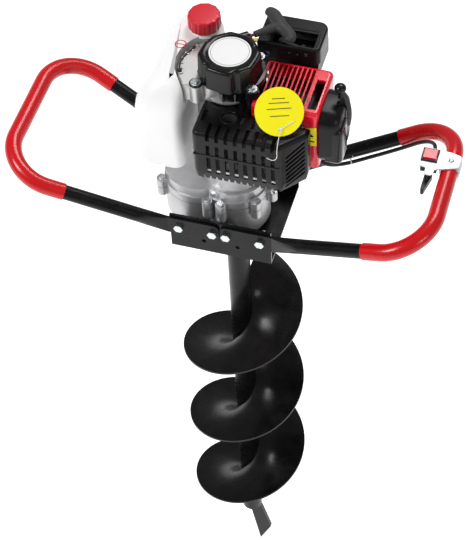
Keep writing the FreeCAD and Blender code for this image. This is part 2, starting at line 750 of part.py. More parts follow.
LAY_BEARING_R = LAY_SHAFT_R + 8
OUT_BEARING_R = SHAFT_R + 11
IN_BEARING_R = INPUT_SHAFT_R + 8
SEAL_HEIGHT = 6
CRANK_R = Size(7.5)
CRANK_BEARING_R = CRANK_R + 10


def make_bearings():
    gap = D.running_gap
    races = bearing(SHAFT_R + gap, OUT_BEARING_R - gap, DECK_TOP + SEAL_HEIGHT + 2, 12)
    races += bearing(SHAFT_R + gap, OUT_BEARING_R - gap, CAVITY_Z - 13, 12)
    races += bearing(LAY_SHAFT_R + gap, LAY_BEARING_R - gap, CAVITY_Z - 11, 9, LAY_X)
    races += bearing(LAY_SHAFT_R + gap, LAY_BEARING_R - gap, CASE_TOP - 12, 9, LAY_X)
    races += bearing(INPUT_SHAFT_R + gap, IN_BEARING_R - gap, CASE_TOP - 12, 9)
    races += bearing(CRANK_R + gap, CRANK_BEARING_R - gap, CLUTCH_TOP + 2, 9)
    races += bearing(CRANK_R + gap, CRANK_BEARING_R - gap, CRANKCASE_TOP - 11, 9)
    keep(group(*races), "ball_bearings")


def make_output_shaft():
    low = D.deck - D.shaft_below
    shaft = rod(SHAFT_R, (0, 0, low), GEAR_TWO_Z + D.gear_width_two + 5 - low)
    shaft = cut(shaft, rod(HITCH_R + D.slip_gap, (-SHAFT_R - 1, 0, HITCH_Z), D.shaft_dia + 2, "X"))
    keep(shaft, "output_shaft")
    gap = D.running_gap
    keep(ring(OUT_BEARING_R - gap, SHAFT_R + gap, (0, 0, DECK_TOP + 1), SEAL_HEIGHT), "shaft_seal")


def boss_places():
    """Gearbox bolts: along the right lobe, at the two crotches and round the left lobe."""
    right = LOBE_R + 5
    left = LAY_LOBE_R + 5
    places = []
    for angle in (-41, 0, 41):
        turn = math.radians(angle)
        places.append((right * math.cos(turn), right * math.sin(turn)))
    for side in (-1, 1):
        places.append((LAY_X * 0.5, side * (LOBE_R + 1)))
        places.append((LAY_X * 0.08, side * (LOBE_R + 5)))
        turn = math.radians(180 - side * 28)
        places.append((LAY_X + left * math.cos(turn), left * math.sin(turn)))
    return places


def lobes(right, left, low, height):
    return [rod(right, (0, 0, low), height), rod(left, (LAY_X, 0, low), height)]


def make_gearbox():
    bolt_r = D.rim_bolt_dia / 2
    loose, tight = bolt_r + 0.25, bolt_r + D.running_gap
    places = boss_places()
    boss_low = JOINT_Z - 16

    foot = DECK_TOP
    bowl_low = foot + 12
    solids = lobes(LOBE_R, LAY_LOBE_R, bowl_low, JOINT_Z - bowl_low)[:1]
    solids.append(rod(LAY_LOBE_R, (LAY_X, 0, CAVITY_Z - 14), JOINT_Z - CAVITY_Z + 14))
    solids.append(rod(LOBE_R - 6, (0, 0, foot), 12.5))
    solids += [rod(D.boss_radius, (x, y, boss_low), JOINT_Z - boss_low) for x, y in places]
    holes = lobes(CAVITY_R, LAY_CAVITY_R, CAVITY_Z, JOINT_Z - CAVITY_Z + 1)
    holes.append(rod(OUT_BEARING_R, (0, 0, foot - 1), CAVITY_Z - foot + 2))
    holes.append(rod(LAY_BEARING_R, (LAY_X, 0, CAVITY_Z - 11), 12))
    holes += [rod(tight, (x, y, boss_low - 1), JOINT_Z - boss_low + 2) for x, y in places]
    holes += [rod(D.deck_bolt_dia / 2 + D.running_gap, (x, y, foot - 1), 17) for x, y in deck_bolt_places()]
    keep(cut(fuse(*solids), *holes), "gearbox_lower")

    outline = lobes(LOBE_R, LAY_LOBE_R, JOINT_Z, D.gasket_thick)
    outline += [rod(D.boss_radius, (x, y, JOINT_Z), D.gasket_thick) for x, y in places]
    openings = lobes(CAVITY_R, LAY_CAVITY_R, JOINT_Z - 1, D.gasket_thick + 2)
    openings += [rod(loose, (x, y, JOINT_Z - 1), D.gasket_thick + 2) for x, y in places]
    keep(cut(fuse(*outline), *openings), "gearbox_gasket")

    solids = lobes(LOBE_R, LAY_LOBE_R, UPPER_Z, D.case_rim)
    solids += lobes(LOBE_R - 2, LAY_LOBE_R - 2, UPPER_Z, D.case_top)
    solids += [rod(D.boss_radius, (x, y, UPPER_Z), D.case_rim) for x, y in places]
    holes = lobes(CAVITY_R, LAY_CAVITY_R, UPPER_Z - 1, D.gear_width_one + 6)
    holes += [rod(IN_BEARING_R, (0, 0, UPPER_Z), D.case_top + 1)]
    holes += [rod(LAY_BEARING_R, (LAY_X, 0, UPPER_Z), D.case_top - 2)]
    holes += [rod(loose, (x, y, UPPER_Z - 1), D.case_rim + 2) for x, y in places]
    keep(cut(fuse(*solids), *holes), "gearbox_upper")

    top = UPPER_Z + D.case_rim
    bolts = [fuse(hexagon(D.rim_bolt_dia * 1.8, (x, y, top), D.rim_bolt_dia * 0.65),
                  rod(bolt_r, (x, y, boss_low + 1), top - boss_low)) for x, y in places]
    keep(group(*bolts), "gearbox_bolts")


# ---------------------------------------------------------------- clutch and crank
def make_clutch():
    case_r = D.clutch_case_dia / 2
    keep(ring(case_r, case_r - 4, (0, 0, CASE_TOP), D.clutch_case_height), "clutch_housing")
    drum_r = D.clutch_drum_dia / 2
    low = CASE_TOP + 16
    drum = cut(rod(drum_r, (0, 0, low), 32), rod(drum_r - 3, (0, 0, low + 4), 30))
    keep(drum, "clutch_drum")
    shoe_r = drum_r - 3.6
    shoes = cut(rod(shoe_r, (0, 0, low + 8), 20), rod(shoe_r - 9, (0, 0, low + 7), 22),
                box((-shoe_r - 1, -3, low + 7), (shoe_r + 1, 3, low + 30)))
    keep(shoes, "clutch_shoes")


BLADES = 12


def make_crank():
    """Crankshaft with two webs and a crank pin; the carrier for the clutch shoes is at its lower end."""
    shoe_z = CASE_TOP + 24
    throw = D.stroke / 2
    web_r = Size(31)
    parts = [rod(CRANK_R, (0, 0, shoe_z), CYLINDER_Z - 6 - shoe_z),
             rod(CRANK_R, (0, 0, CYLINDER_Z + 6), FAN_TOP - 7 - CYLINDER_Z - 6),
             rod(D.clutch_drum_dia / 2 - 3 - 0.6 - 9 - 0.3, (0, 0, shoe_z + 2), 14),
             rod(web_r, (0, 0, CYLINDER_Z - 18), 12), rod(web_r, (0, 0, CYLINDER_Z + 6), 12),
             rod(7, (0, -throw, CYLINDER_Z - 7), 14)]
    keep(fuse(*parts), "crankshaft")
    fan_low = CRANKCASE_TOP + 5
    fan_r = D.fan_dia / 2
    hub = cut(rod(14, (0, 0, fan_low), 18), rod(CRANK_R + D.pinion_bore_gap, (0, 0, fan_low - 1), 20))
    plate = cut(rod(fan_r, (0, 0, fan_low), 3), rod(13, (0, 0, fan_low - 1), 5))
    blades = []
    for number in range(BLADES):
        turn = Rotation(Vector(0, 0, 1), 360 / BLADES * number)
        corner = turn.multVec(Vector(13.5, -1, 0))
        blade = doc.addObject("Part::Box", "Blade")
        bind(blade, Length=fan_r - 14.5, Width=2, Height=16)
        blades.append(put(blade, corner.x, corner.y, fan_low + 2, turn))
    keep(fuse(hub, plate, *blades), "flywheel_fan")


# ---------------------------------------------------------------- engine
PAD_X = D.crankcase_dia / 2 + 1
BORE_R = D.bore_dia / 2
HEAD_X = D.cylinder_reach
CROWN_X = HEAD_X - 20 - D.stroke / 2


def make_crankcase():
    case_r = D.crankcase_dia / 2
    low = CLUTCH_TOP
    solids = [rod(case_r, (0, 0, low), D.crankcase_height),
              box((10, -32, CYLINDER_Z - 32), (PAD_X, 32, CYLINDER_Z + 32))]
    holes = [rod(case_r - 10, (0, 0, low + 12), D.crankcase_height - 24),
             rod(CRANK_BEARING_R, (0, 0, low - 1), D.crankcase_height + 2),
             rod(BORE_R + 4, (15, 0, CYLINDER_Z), case_r, "X")]
    keep(cut(fuse(*solids), *holes), "crankcase")


def make_cylinder():
    wall_r = BORE_R + 5
    half = D.fin_size / 2
    solids = [rod(wall_r, (PAD_X, 0, CYLINDER_Z), HEAD_X - PAD_X, "X"),
              box((PAD_X, -half + 2, CYLINDER_Z - half + 2), (PAD_X + 6, half - 2, CYLINDER_Z + half - 2))]
    first = PAD_X + 10
    step = (HEAD_X - 3 - first) / (D.fin_count - 1)
    for number in range(int(float(D.fin_count))):
        x = first + step * number
        solids.append(box((x, -half, CYLINDER_Z - half), (x + 3, half, CYLINDER_Z + half)))
    holes = [rod(BORE_R, (PAD_X - 1, 0, CYLINDER_Z), HEAD_X - 17 - PAD_X, "X"),
             rod(7.1, (HEAD_X - 30, 0, CYLINDER_Z), 40, "X")]
    keep(cut(fuse(*solids), *holes), "cylinder")
    piston_r = BORE_R - D.running_gap
    piston = cut(rod(piston_r, (CROWN_X - 36, 0, CYLINDER_Z), 36, "X"),
                 rod(piston_r - 4, (CROWN_X - 37, 0, CYLINDER_Z), 31, "X"),
                 rod(5, (CROWN_X - 18, -piston_r - 1, CYLINDER_Z), D.bore_dia + 2, "Y"))
    pin = rod(4.95, (CROWN_X - 18, -piston_r + 2, CYLINDER_Z), D.bore_dia - 4.2, "Y")
    keep(group(piston, pin), "piston")
    plug = turned([(0, 0), (7, 0), (7, 15), (10, 15), (10, 24), (5, 26), (5, 40), (3, 40), (3, 46), (0, 46)],
                  HEAD_X - 15, 0, CYLINDER_Z, AXES["X"])
    keep(plug, "spark_plug")


SHELL = D.shell_wall
GUARD_LOW = CLUTCH_TOP - 2
GUARD_HIGH = CRANKCASE_TOP - 4
GUARD_FRONT = Size(-96)


def walled(plane_outline, inner_outline, low, high, wall_top):
    """A moulded shell with side walls and a top, open below."""
    outer = padded("XY_Plane", plane_outline, high - low)
    put(outer, 0, 0, low)
    inner = padded("XY_Plane", inner_outline, high - low - wall_top + 1)
    put(inner, 0, 0, low - 1)
    return cut(outer, inner)


def make_guard():
    """Black cover over the muffler: top, front and a slanted right corner, open at the back and below."""
    back, front = Size(-47), GUARD_FRONT
    left, right, slant = Size(-28), Size(131), Size(100)
    t = SHELL
    outer = [(left, back), (left, front + 6), (left + 6, front), (slant, front), (right, front + 34), (right, back)]
    inner = [(left + t, back + 5), (left + t, front + 7), (left + 7, front + t), (slant - 1, front + t),
             (right - t, front + 35), (right - t, back + 5)]
    shell = walled(outer, inner, GUARD_LOW, GUARD_HIGH, t)
    slots = [rod(7, (17, -57, GUARD_HIGH - 5), 10)]
    for number in range(9):
        x = left + 14 + 12.5 * number
        slots.append(box((x, front - 1, GUARD_LOW + 12), (x + 5, front + 5, GUARD_HIGH - 14)))
    for number in range(5):
        x = Size(38) + 12.5 * number
        slots.append(box((x, front + 10, GUARD_HIGH - 5), (x + 5, front + 38, GUARD_HIGH + 1)))
    keep(cut(shell, *slots), "muffler_guard")
    low, high = GUARD_LOW + 12, GUARD_HIGH - 12
    box_outer = box((-14, front + 9, low), (104, back - 1, high))
    box_inner = box((-11, front + 12, low + 3), (101, back - 4, high - 3))
    outlet = rod(5, (17, -57, high - 10), 20)
    keep(cut(box_outer, box_inner, outlet), "muffler")


SHROUD_LEFT = Size(44)
SHROUD_RIGHT = Size(141)
SHROUD_HIGH = CRANKCASE_TOP + 22
SHROUD_LOW = CLUTCH_TOP + 2
SHROUD_FRONT = Size(-42)
SHROUD_BACK = Size(50)


def make_shroud():
    """Red cooling-air cover over the cylinder, with long slots in its top."""
    t = SHELL
    outer = box((SHROUD_LEFT, SHROUD_FRONT, SHROUD_LOW), (SHROUD_RIGHT, SHROUD_BACK, SHROUD_HIGH))
    holes = [box((SHROUD_LEFT - 1, SHROUD_FRONT + t, SHROUD_LOW - 1),
                 (SHROUD_RIGHT - t, SHROUD_BACK - t, SHROUD_HIGH - t)),
             box((SHROUD_LEFT - 1, SHROUD_BACK - t - 1, SHROUD_LOW - 1),
                 (SHROUD_RIGHT + 1, SHROUD_BACK + 1, CYLINDER_Z + 25)),
             box((SHROUD_LEFT - 1, SHROUD_FRONT - 1, SHROUD_LOW - 1),
                 (SHROUD_RIGHT - 30, SHROUD_FRONT + t + 1, GUARD_HIGH + 1)),
             rod(20, (SHROUD_RIGHT - 5, 0, CYLINDER_Z), 10, "X")]
    for number in range(9):
        x = SHROUD_LEFT + 6 + 8.6 * number
        holes.append(box((x, SHROUD_FRONT + 8, SHROUD_HIGH - 5), (x + 5, SHROUD_BACK - 8, SHROUD_HIGH + 1)))
    holes.append(box((SHROUD_RIGHT - 16, SHROUD_FRONT + 8, SHROUD_HIGH - 5),
                     (SHROUD_RIGHT - 5, SHROUD_BACK - 8, SHROUD_HIGH + 1)))
    keep(cut(outer, *holes), "cylinder_shroud")
    left = SHROUD_RIGHT + 0.5
    cover = cut(box((left, -44, SHROUD_LOW + 6), (left + 29, 32, SHROUD_HIGH - 4)),
                box((left - 1, -41, SHROUD_LOW + 9), (left + 26.5, 29, SHROUD_HIGH - 7)))
    keep(cover, "end_cover")


CARB_X = Size(80)
FILTER_BOX = (Size(22), Size(114), Size(66), Size(128))
FILTER_LOW = CYLINDER_Z + 27
FILTER_SPLIT = CRANKCASE_TOP + 8
FILTER_HIGH = FAN_TOP + 5


def make_intake():
    carb = cut(box((CARB_X - 18, D.fin_size / 2 + 0.5, CYLINDER_Z - 20), (CARB_X + 18, 80, CYLINDER_Z + 18)),
               rod(9, (CARB_X, 30, CYLINDER_Z), 60, "Y"))
    keep(carb, "carburettor")
    left, right, front, back = FILTER_BOX
    t = SHELL
    base = cut(fuse(box((left + 2, front + 2, FILTER_LOW), (right - 2, back - 2, FILTER_SPLIT)),
                    box((CARB_X - 14, 80.5, CYLINDER_Z - 14), (CARB_X + 14, 104, FILTER_LOW + 1))),
               box((left + 2 + t, front + 2 + t, FILTER_LOW + t), (right - 2 - t, back - 2 - t, FILTER_SPLIT + 1)),
               box((CARB_X - 11, 83.5, CYLINDER_Z - 11), (CARB_X + 11, 101, FILTER_LOW + t + 1)),
               rod(9, (CARB_X, 79, CYLINDER_Z), 8, "Y"))
    keep(base, "air_filter_base")
    keep(box((left + 8, front + 26, FILTER_LOW + 5), (right - 8, back - 8, FILTER_HIGH - 20)), "air_filter_element")
    cover = cut(box((left, front, FILTER_SPLIT), (right, back, FILTER_HIGH)),
                box((left + t, front + t, FILTER_SPLIT - 1), (right - t, back - t, FILTER_HIGH - t)),
                box((left + 22, front + 4, FILTER_HIGH - 5), (left + 82, front + 34, FILTER_HIGH + 1)))
    keep(cover, "air_filter_cover")
    lever = fuse(rod(5, (0, 0, 0), 4), box((0, -2.5, 0), (38, 2.5, 4)), box((33, -2.5, 0), (38, 2.5, 9)),
                 rod(2, (0, 0, -4), 6))
    put(lever, left + 32, front + 19, FILTER_HIGH - 12, Rotation(Vector(0, 0, 1), -16))
    keep(lever, "choke_lever")


# ---------------------------------------------------------------- fan housing and recoil starter
FAN_X, FAN_Y = Size(-16), Size(6)
SCREWS = [(-37, -34), (42, -27), (35, 37.5)]
ROPE_Z = FAN_TOP + 23
ROPE = Vector(math.cos(math.radians(float(D.rope_angle))), math.sin(math.radians(float(D.rope_angle))), 0)
SIDE = Vector(-ROPE.y, ROPE.x, 0)


def rope_point(distance, height=0.0, sideways=0.0):
    """A point at a distance along the rope from where it leaves the pulley."""
    foot = SIDE * float(D.pulley_dia / 2)
    return foot + ROPE * distance + SIDE * sideways + Vector(0, 0, float(ROPE_Z) + height)


def make_fan_housing():
    case_r = D.fan_case_dia / 2
    low = CRANKCASE_TOP
    shell = cut(rod(case_r, (FAN_X, FAN_Y, low), D.fan_case_height),
                rod(case_r - 2.5, (FAN_X, FAN_Y, low + 3), D.fan_case_height - 6),
                rod(12, (0, 0, low - 1), 6), rod(D.fan_dia / 2 + 2, (0, 0, low + 10), D.fan_case_height))
    shell = cut(shell, *[rod(2.55, (x, y, low + 20), 20) for x, y in SCREWS])
    keep(shell, "fan_housing")


def make_recoil():
    cup_r = D.cup_dia / 2
    low = FAN_TOP
    outer = [rod(cup_r, (0, 0, low), D.cup_height)]
    outer += [rod(9.5, (x, y, low), 5) for x, y in SCREWS]
    exit_start = rope_point(float(cup_r) * 0.55)
    boss = Part.makeCylinder(8, 24, exit_start, ROPE)
    boss_obj = solid(boss)
    hole = solid(Part.makeCylinder(4.2, 44, exit_start - ROPE * 8, ROPE))
    room = rod(cup_r - D.cup_wall, (0, 0, low - 1), D.cup_height - D.cup_wall + 1)
    shell = cut(fuse(*outer, boss_obj), room, hole)
    screw_holes = [rod(2.6, (x, y, low - 1), 8) for x, y in SCREWS]
    post = rod(5, (0, 0, low + 8), D.cup_height - 8 - 1)
    keep(fuse(cut(shell, *screw_holes), post), "recoil_housing")
    screws = [fuse(rod(2.5, (x, y, low - 2), 8), hexagon(9, (x, y, low + 5), 4)) for x, y in SCREWS]
    keep(group(*screws), "recoil_screws")

    pulley_r = D.pulley_dia / 2
    groove = D.rope_dia / 2 + 0.6
    bore = Size(5) + D.running_gap
    z = ROPE_Z
    pulley = turned([(bore, z - 6), (pulley_r + 3, z - 6), (pulley_r + 3, z - groove), (pulley_r - 2.3, z - groove),
                     (pulley_r - 2.3, z + groove), (pulley_r + 3, z + groove), (pulley_r + 3, z + 6), (bore, z + 6)])
    keep(pulley, "recoil_pulley")

    neck_from = float(cup_r) * 0.55 + 24.5
    out = float(D.handle_out)
    rope = Part.makeCylinder(float(D.rope_dia) / 2, neck_from + 6 - 3, rope_point(3), ROPE)
    keep(solid(rope), "starter_rope")
    neck = Part.makeCone(4.5, 6.5, out - 8 - neck_from, rope_point(neck_from), ROPE)
    bar = Part.makeBox(74, 18, 14, Vector(-37, -9, -7))
    bar = bar.makeFillet(6, [e for e in bar.Edges if abs(e.Length - 74) < 0.01])
    bar.rotate(Vector(), Vector(0, 0, 1), float(D.rope_angle) + 90)
    bar.translate(rope_point(out))
    hole = Part.makeCylinder(float(D.rope_dia) / 2 + float(D.slip_gap), 10, rope_point(neck_from - 1), ROPE)
    keep(solid(neck.fuse(bar).cut(hole)), "recoil_handle")


# ---------------------------------------------------------------- fuel tank
def make_tank():
    low = D.deck + D.tank_low
    high = low + D.tank_height
    outline = [(-110, -66), (-58, -66), (-54, -60), (-54, 18), (-34, 52), (-34, 104), (-42, 110), (-104, 110),
               (-124, 92), (-127, -4)]
    t = D.tank_wall
    inner_outline = [(-108, -63), (-60, -63), (-57, -58), (-57, 20), (-37, 54), (-37, 102), (-44, 107),
                     (-102, 107), (-121, 90), (-124, -4)]
    outer = put(padded("XY_Plane", outline, D.tank_height), 0, 0, low)
    fan_room = rod(D.fan_case_dia / 2 + 2.5, (FAN_X, FAN_Y, CRANKCASE_TOP - 6), high - CRANKCASE_TOP + 8)
    outer = rounded(outer, 5, lambda edge, middle: abs(edge.Length - float(D.tank_height)) < 0.01)
    outer = rounded(outer, 4, lambda edge, middle: abs(middle.z - float(high)) < 0.01)
    outer = cut(outer, fan_room)
    inner = put(padded("XY_Plane", inner_outline, D.tank_height - t * 2 - 9), 0, 0, low + t)
    inner_room = rod(D.fan_case_dia / 2 + 2.5 + t, (FAN_X, FAN_Y, CRANKCASE_TOP - 6 - t), high - CRANKCASE_TOP + 12)
    inner = cut(inner, inner_room)
    neck = (D.cap_x, D.cap_y, high - 14)
    shell = fuse(outer, rod(18, neck, 28))
    shell = cut(shell, inner, rod(15, (D.cap_x, D.cap_y, high - 20), 40))
    keep(shell, "fuel_tank")
    cap_r = D.cap_dia / 2
    neck_top = high + 14
    cap_low = high + 4
    cap = turned([(0, cap_low + D.cap_height - 4), (18.4, cap_low + D.cap_height - 4), (18.4, cap_low),
                  (cap_r, cap_low), (cap_r, cap_low + D.cap_height), (0, cap_low + D.cap_height)],
                 D.cap_x, D.cap_y)
    keep(cap, "fuel_cap")
    keep(ring(17.9, 12, (D.cap_x, D.cap_y, neck_top + 0.3), 2.5), "cap_seal")


# ---------------------------------------------------------------- hoses, controls and tag
def make_fuel_line():
    z = float(CYLINDER_Z)
    points = [(-33.9, 92, z + 30), (-16, 92, z + 30), (1, 91, z + 26), (15, 87, z + 15.5), (29, 79, z + 5),
              (45, 70, z), (61.9, 70, z)]
    keep(solid(sweep(smooth_path(points), float(D.cable_dia) / 2)), "fuel_line")


GRIP_R = D.handle_dia / 2 + D.grip_wall
GRIP_Z = D.deck + D.handle_rise
SWITCH_Y = (Size(22), Size(58))


def make_controls():
    x, z = D.handle_reach, GRIP_Z
    front, back = SWITCH_Y
    width = back - front
    clamp_r = GRIP_R + 2.6
    plate_z = z + clamp_r - 3
    solids = [rod(clamp_r, (x, front, z), width, "Y"),
              box((x - 46, front - 24, plate_z), (x, back, plate_z + 3)),
              rod(2.5, (x - 28, front - 12, z - 10), plate_z + 1 - z + 10)]
    keep(cut(fuse(*solids), rod(GRIP_R + D.slip_gap, (x, front - 25, z), width + 26, "Y"),
             box((x - 43, front + 5, plate_z - 1), (x - 19, back - 7, plate_z + 5))), "switch_bracket")
    body = cut(box((x - 43 + 0.1, front + 5.1, plate_z - 20), (x - 19 - 0.1, back - 7.1, plate_z + 5)),
               box((x - 41, front + 7, plate_z - 5), (x - 21, back - 9, plate_z + 6)))
    keep(body, "stop_switch")
    middle = (front + back) / 2 - 1
    rocker = cut(rod(9.2, (x - 40.6, middle, plate_z + 4), 19.2, "X"),
                 box((x - 42, middle - 12, plate_z + 7.2), (x - 20, middle + 12, plate_z + 20)),
                 box((x - 42, middle - 12, plate_z - 20), (x - 20, middle + 12, plate_z + 0.5)))
    keep(rocker, "switch_rocker")
    lever = cut(fuse(ring(6, 2.55, (x - 28, front - 12, z - 9), 13),
                     box((x - 34, front - 70, z - 8), (x - 29.5, front - 12, z + 3))),
                rod(2.55, (x - 28, front - 12, z - 20), 40))
    keep(lever, "throttle_lever")


CABLE = [(288, 51, 1096), (288, 68, 1096), (281, 86, 1089), (263, 98, 1074), (236, 101, 1051), (206, 95, 1036),
         (178, 88, 1024), (150, 80, 1013), (126, 70, 1014), (107, 61, 1032), (92, 57, 1062), (85, 57, 1106),
         (85, 57, 1149.9)]


def make_cable():
    keep(solid(sweep(smooth_path(CABLE), float(D.cable_dia) / 2)), "control_cable")


def make_tag():
    """A round tag that leans against the front edge of the shroud."""
    facing = Rotation(Vector(0, 0, 1), Vector(0.207, -0.597, 0.775))
    disc = rod(D.tag_dia / 2, (0, 0, 0), 0.8)
    disc.Placement = Placement(Vector(), facing)
    for letter, size in zip("xyz", (Size(88), Size(-52), GUARD_HIGH + 31)):
        disc.setExpression(f".Placement.Base.{letter}", size.formula)
    keep(disc, "hang_tag")


# ---------------------------------------------------------------- build, check and write
def export():
    doc.recompute()
    for obj in doc.Objects:
        if "Invalid" in obj.State or "Error" in obj.State:
            raise RuntimeError(f"{obj.Name} failed: {obj.State}")
    os.makedirs("parts", exist_ok=True)
    for obj in PIECES:
        shape = obj.Shape
        if shape.isNull() or not shape.isValid():
            raise RuntimeError(f"{obj.Label} has no valid shape")
        shape.exportStep(f"parts/{obj.Label}.step")
        print(f"{obj.Label}: {len(shape.Solids)} solids, {shape.Volume / 1000:.1f} cm3")
    print(len(PIECES), "nodes")


make_frame()
make_handle_fasteners()
make_deck_bolts()
make_handles()
make_stem()
make_hitch_pin()
make_flight()
make_cutter()
make_pilot()
make_gears()
make_bearings()
make_output_shaft()
make_gearbox()
make_clutch()
make_crank()
make_crankcase()
make_cylinder()
make_guard()
make_shroud()
make_intake()
make_fan_housing()
make_recoil()
make_tank()
make_fuel_line()
make_controls()
make_cable()
make_tag()
export()
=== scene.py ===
"""Looks of the powered auger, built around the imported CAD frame. Lengths are in millimetres until raw() scales them."""
import json
import math

import bmesh
import bpy
from mathutils import Matrix, Vector


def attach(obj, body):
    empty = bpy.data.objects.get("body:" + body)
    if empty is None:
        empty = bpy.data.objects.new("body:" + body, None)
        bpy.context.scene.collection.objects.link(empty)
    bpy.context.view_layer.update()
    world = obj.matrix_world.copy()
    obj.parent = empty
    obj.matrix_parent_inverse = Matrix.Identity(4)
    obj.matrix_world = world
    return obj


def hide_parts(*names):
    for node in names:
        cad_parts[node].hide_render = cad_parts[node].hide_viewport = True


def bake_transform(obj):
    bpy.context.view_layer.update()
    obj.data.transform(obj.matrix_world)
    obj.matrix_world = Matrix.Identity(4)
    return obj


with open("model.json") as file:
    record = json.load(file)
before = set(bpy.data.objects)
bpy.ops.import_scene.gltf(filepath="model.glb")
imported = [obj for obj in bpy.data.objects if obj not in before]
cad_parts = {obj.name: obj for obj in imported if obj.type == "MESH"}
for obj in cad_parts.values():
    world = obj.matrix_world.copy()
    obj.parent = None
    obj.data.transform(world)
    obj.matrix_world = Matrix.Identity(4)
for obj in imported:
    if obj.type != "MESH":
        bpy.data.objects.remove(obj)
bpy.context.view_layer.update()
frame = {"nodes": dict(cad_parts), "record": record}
NODES = frame["nodes"]
MM = 0.001


# ---------------------------------------------------------------- camera, floor and light
AZIMUTH, ELEVATION, ROLL = math.radians(19.08), math.radians(50.74), math.radians(-3.45)
AIM = Vector((-0.0698, 0.1751, 0.5791))
DISTANCE = 3.115
LENS, SENSOR = 118.4, 36.0


def make_camera():
    """A long lens that looks down on the front of the tool from its right."""
    back = Vector((math.sin(AZIMUTH) * math.cos(ELEVATION), -math.cos(AZIMUTH) * math.cos(ELEVATION),
                   math.sin(ELEVATION)))
    level = Vector((math.cos(AZIMUTH), math.sin(AZIMUTH), 0))
    steep = back.cross(level)
    right = level * math.cos(ROLL) + steep * math.sin(ROLL)
    up = steep * math.cos(ROLL) - level * math.sin(ROLL)
    camera = bpy.data.objects.new("camera", bpy.data.cameras.new("camera"))
    camera.data.lens, camera.data.sensor_width = LENS, SENSOR
    camera.data.clip_end = 50
    turn = Matrix((right, up, back)).transposed().to_4x4()
    camera.matrix_world = Matrix.Translation(AIM + back * DISTANCE) @ turn
    bpy.context.scene.collection.objects.link(camera)
    bpy.context.scene.camera = camera


def make_floor():
    """A wide pale plane with a little light of its own, so that it reads as a white backdrop."""
    mesh = bpy.data.meshes.new("floor")
    half = 12.0
    mesh.from_pydata([(-half, -half, 0), (half, -half, 0), (half, half, 0), (-half, half, 0)], [], [(0, 1, 2, 3)])
    floor = bpy.data.objects.new("floor", mesh)
    material = bpy.data.materials.new("floor")
    material.use_nodes = True
    shader = material.node_tree.nodes["Principled BSDF"]
    shader.inputs["Base Color"].default_value = (0.93, 0.93, 0.93, 1)
    shader.inputs["Roughness"].default_value = 0.9
    shader.inputs["Emission Color"].default_value = (1, 1, 1, 1)
    shader.inputs["Emission Strength"].default_value = 0.72
    mesh.materials.append(material)
    bpy.context.scene.collection.objects.link(floor)


def make_lights():
    """Soft boxes: a key high on the left, a fill on the right and one behind, all aimed at the engine."""
    world = bpy.data.worlds.new("studio")
    world.use_nodes = True
    world.node_tree.nodes["Background"].inputs["Color"].default_value = (1, 1, 1, 1)
    world.node_tree.nodes["Background"].inputs["Strength"].default_value = 0.3
    bpy.context.scene.world = world
    aim = Vector((0, 0, 1.0))
    for name, place, size, watts in (("key", (-1.7, -1.5, 3.3), 1.0, 52), ("fill", (2.4, -1.6, 2.4), 0.9, 14),
                                     ("top", (0.2, 1.4, 3.2), 1.0, 26)):
        lamp = bpy.data.lights.new(name, "AREA")
        lamp.size, lamp.energy = size, watts
        light = bpy.data.objects.new(name, lamp)
        light.location = place
        light.rotation_euler = (aim - Vector(place)).to_track_quat("-Z", "Y").to_euler()
        bpy.context.scene.collection.objects.link(light)


make_camera()
make_floor()
make_lights()
bpy.context.scene.view_settings.view_transform = "Standard"


# ---------------------------------------------------------------- materials
def mix_colour(tree, factor, first, second):
    """Blends two colours, each given as a colour or as a socket."""
    mix = tree.nodes.new("ShaderNodeMix")
    mix.data_type = "RGBA"
    for socket, colour in (("A", first), ("B", second)):
        if isinstance(colour, tuple):
            mix.inputs[socket].default_value = (*colour, 1)
        else:
            tree.links.new(colour, mix.inputs[socket])
    tree.links.new(factor, mix.inputs["Factor"])
    return mix.outputs["Result"]


def noise(tree, scale, octaves, stretch=(1, 1, 1), roughness=0.55):
    """Noise in the piece's own coordinates; scale is in features per metre."""
    place = tree.nodes.new("ShaderNodeTexCoord")
    mapping = tree.nodes.new("ShaderNodeMapping")
    mapping.inputs["Scale"].default_value = stretch
    texture = tree.nodes.new("ShaderNodeTexNoise")
    texture.inputs["Scale"].default_value = scale
    texture.inputs["Detail"].default_value = octaves
    texture.inputs["Roughness"].default_value = roughness
    tree.links.new(place.outputs["Object"], mapping.inputs["Vector"])
    tree.links.new(mapping.outputs["Vector"], texture.inputs["Vector"])
    return texture.outputs["Fac"]


def ranged(tree, value, from_low, from_high, to_low, to_high):
    """A value carried from one range to another, and held at its ends."""
    node = tree.nodes.new("ShaderNodeMapRange")
    for socket, number in zip(("From Min", "From Max", "To Min", "To Max"), (from_low, from_high, to_low, to_high)):
        node.inputs[socket].default_value = number
    tree.links.new(value, node.inputs["Value"])
    return node.outputs["Result"]


PATCH_RANGE = (0.3, 0.7)
SCUFF_RANGE = (0.66, 0.74)


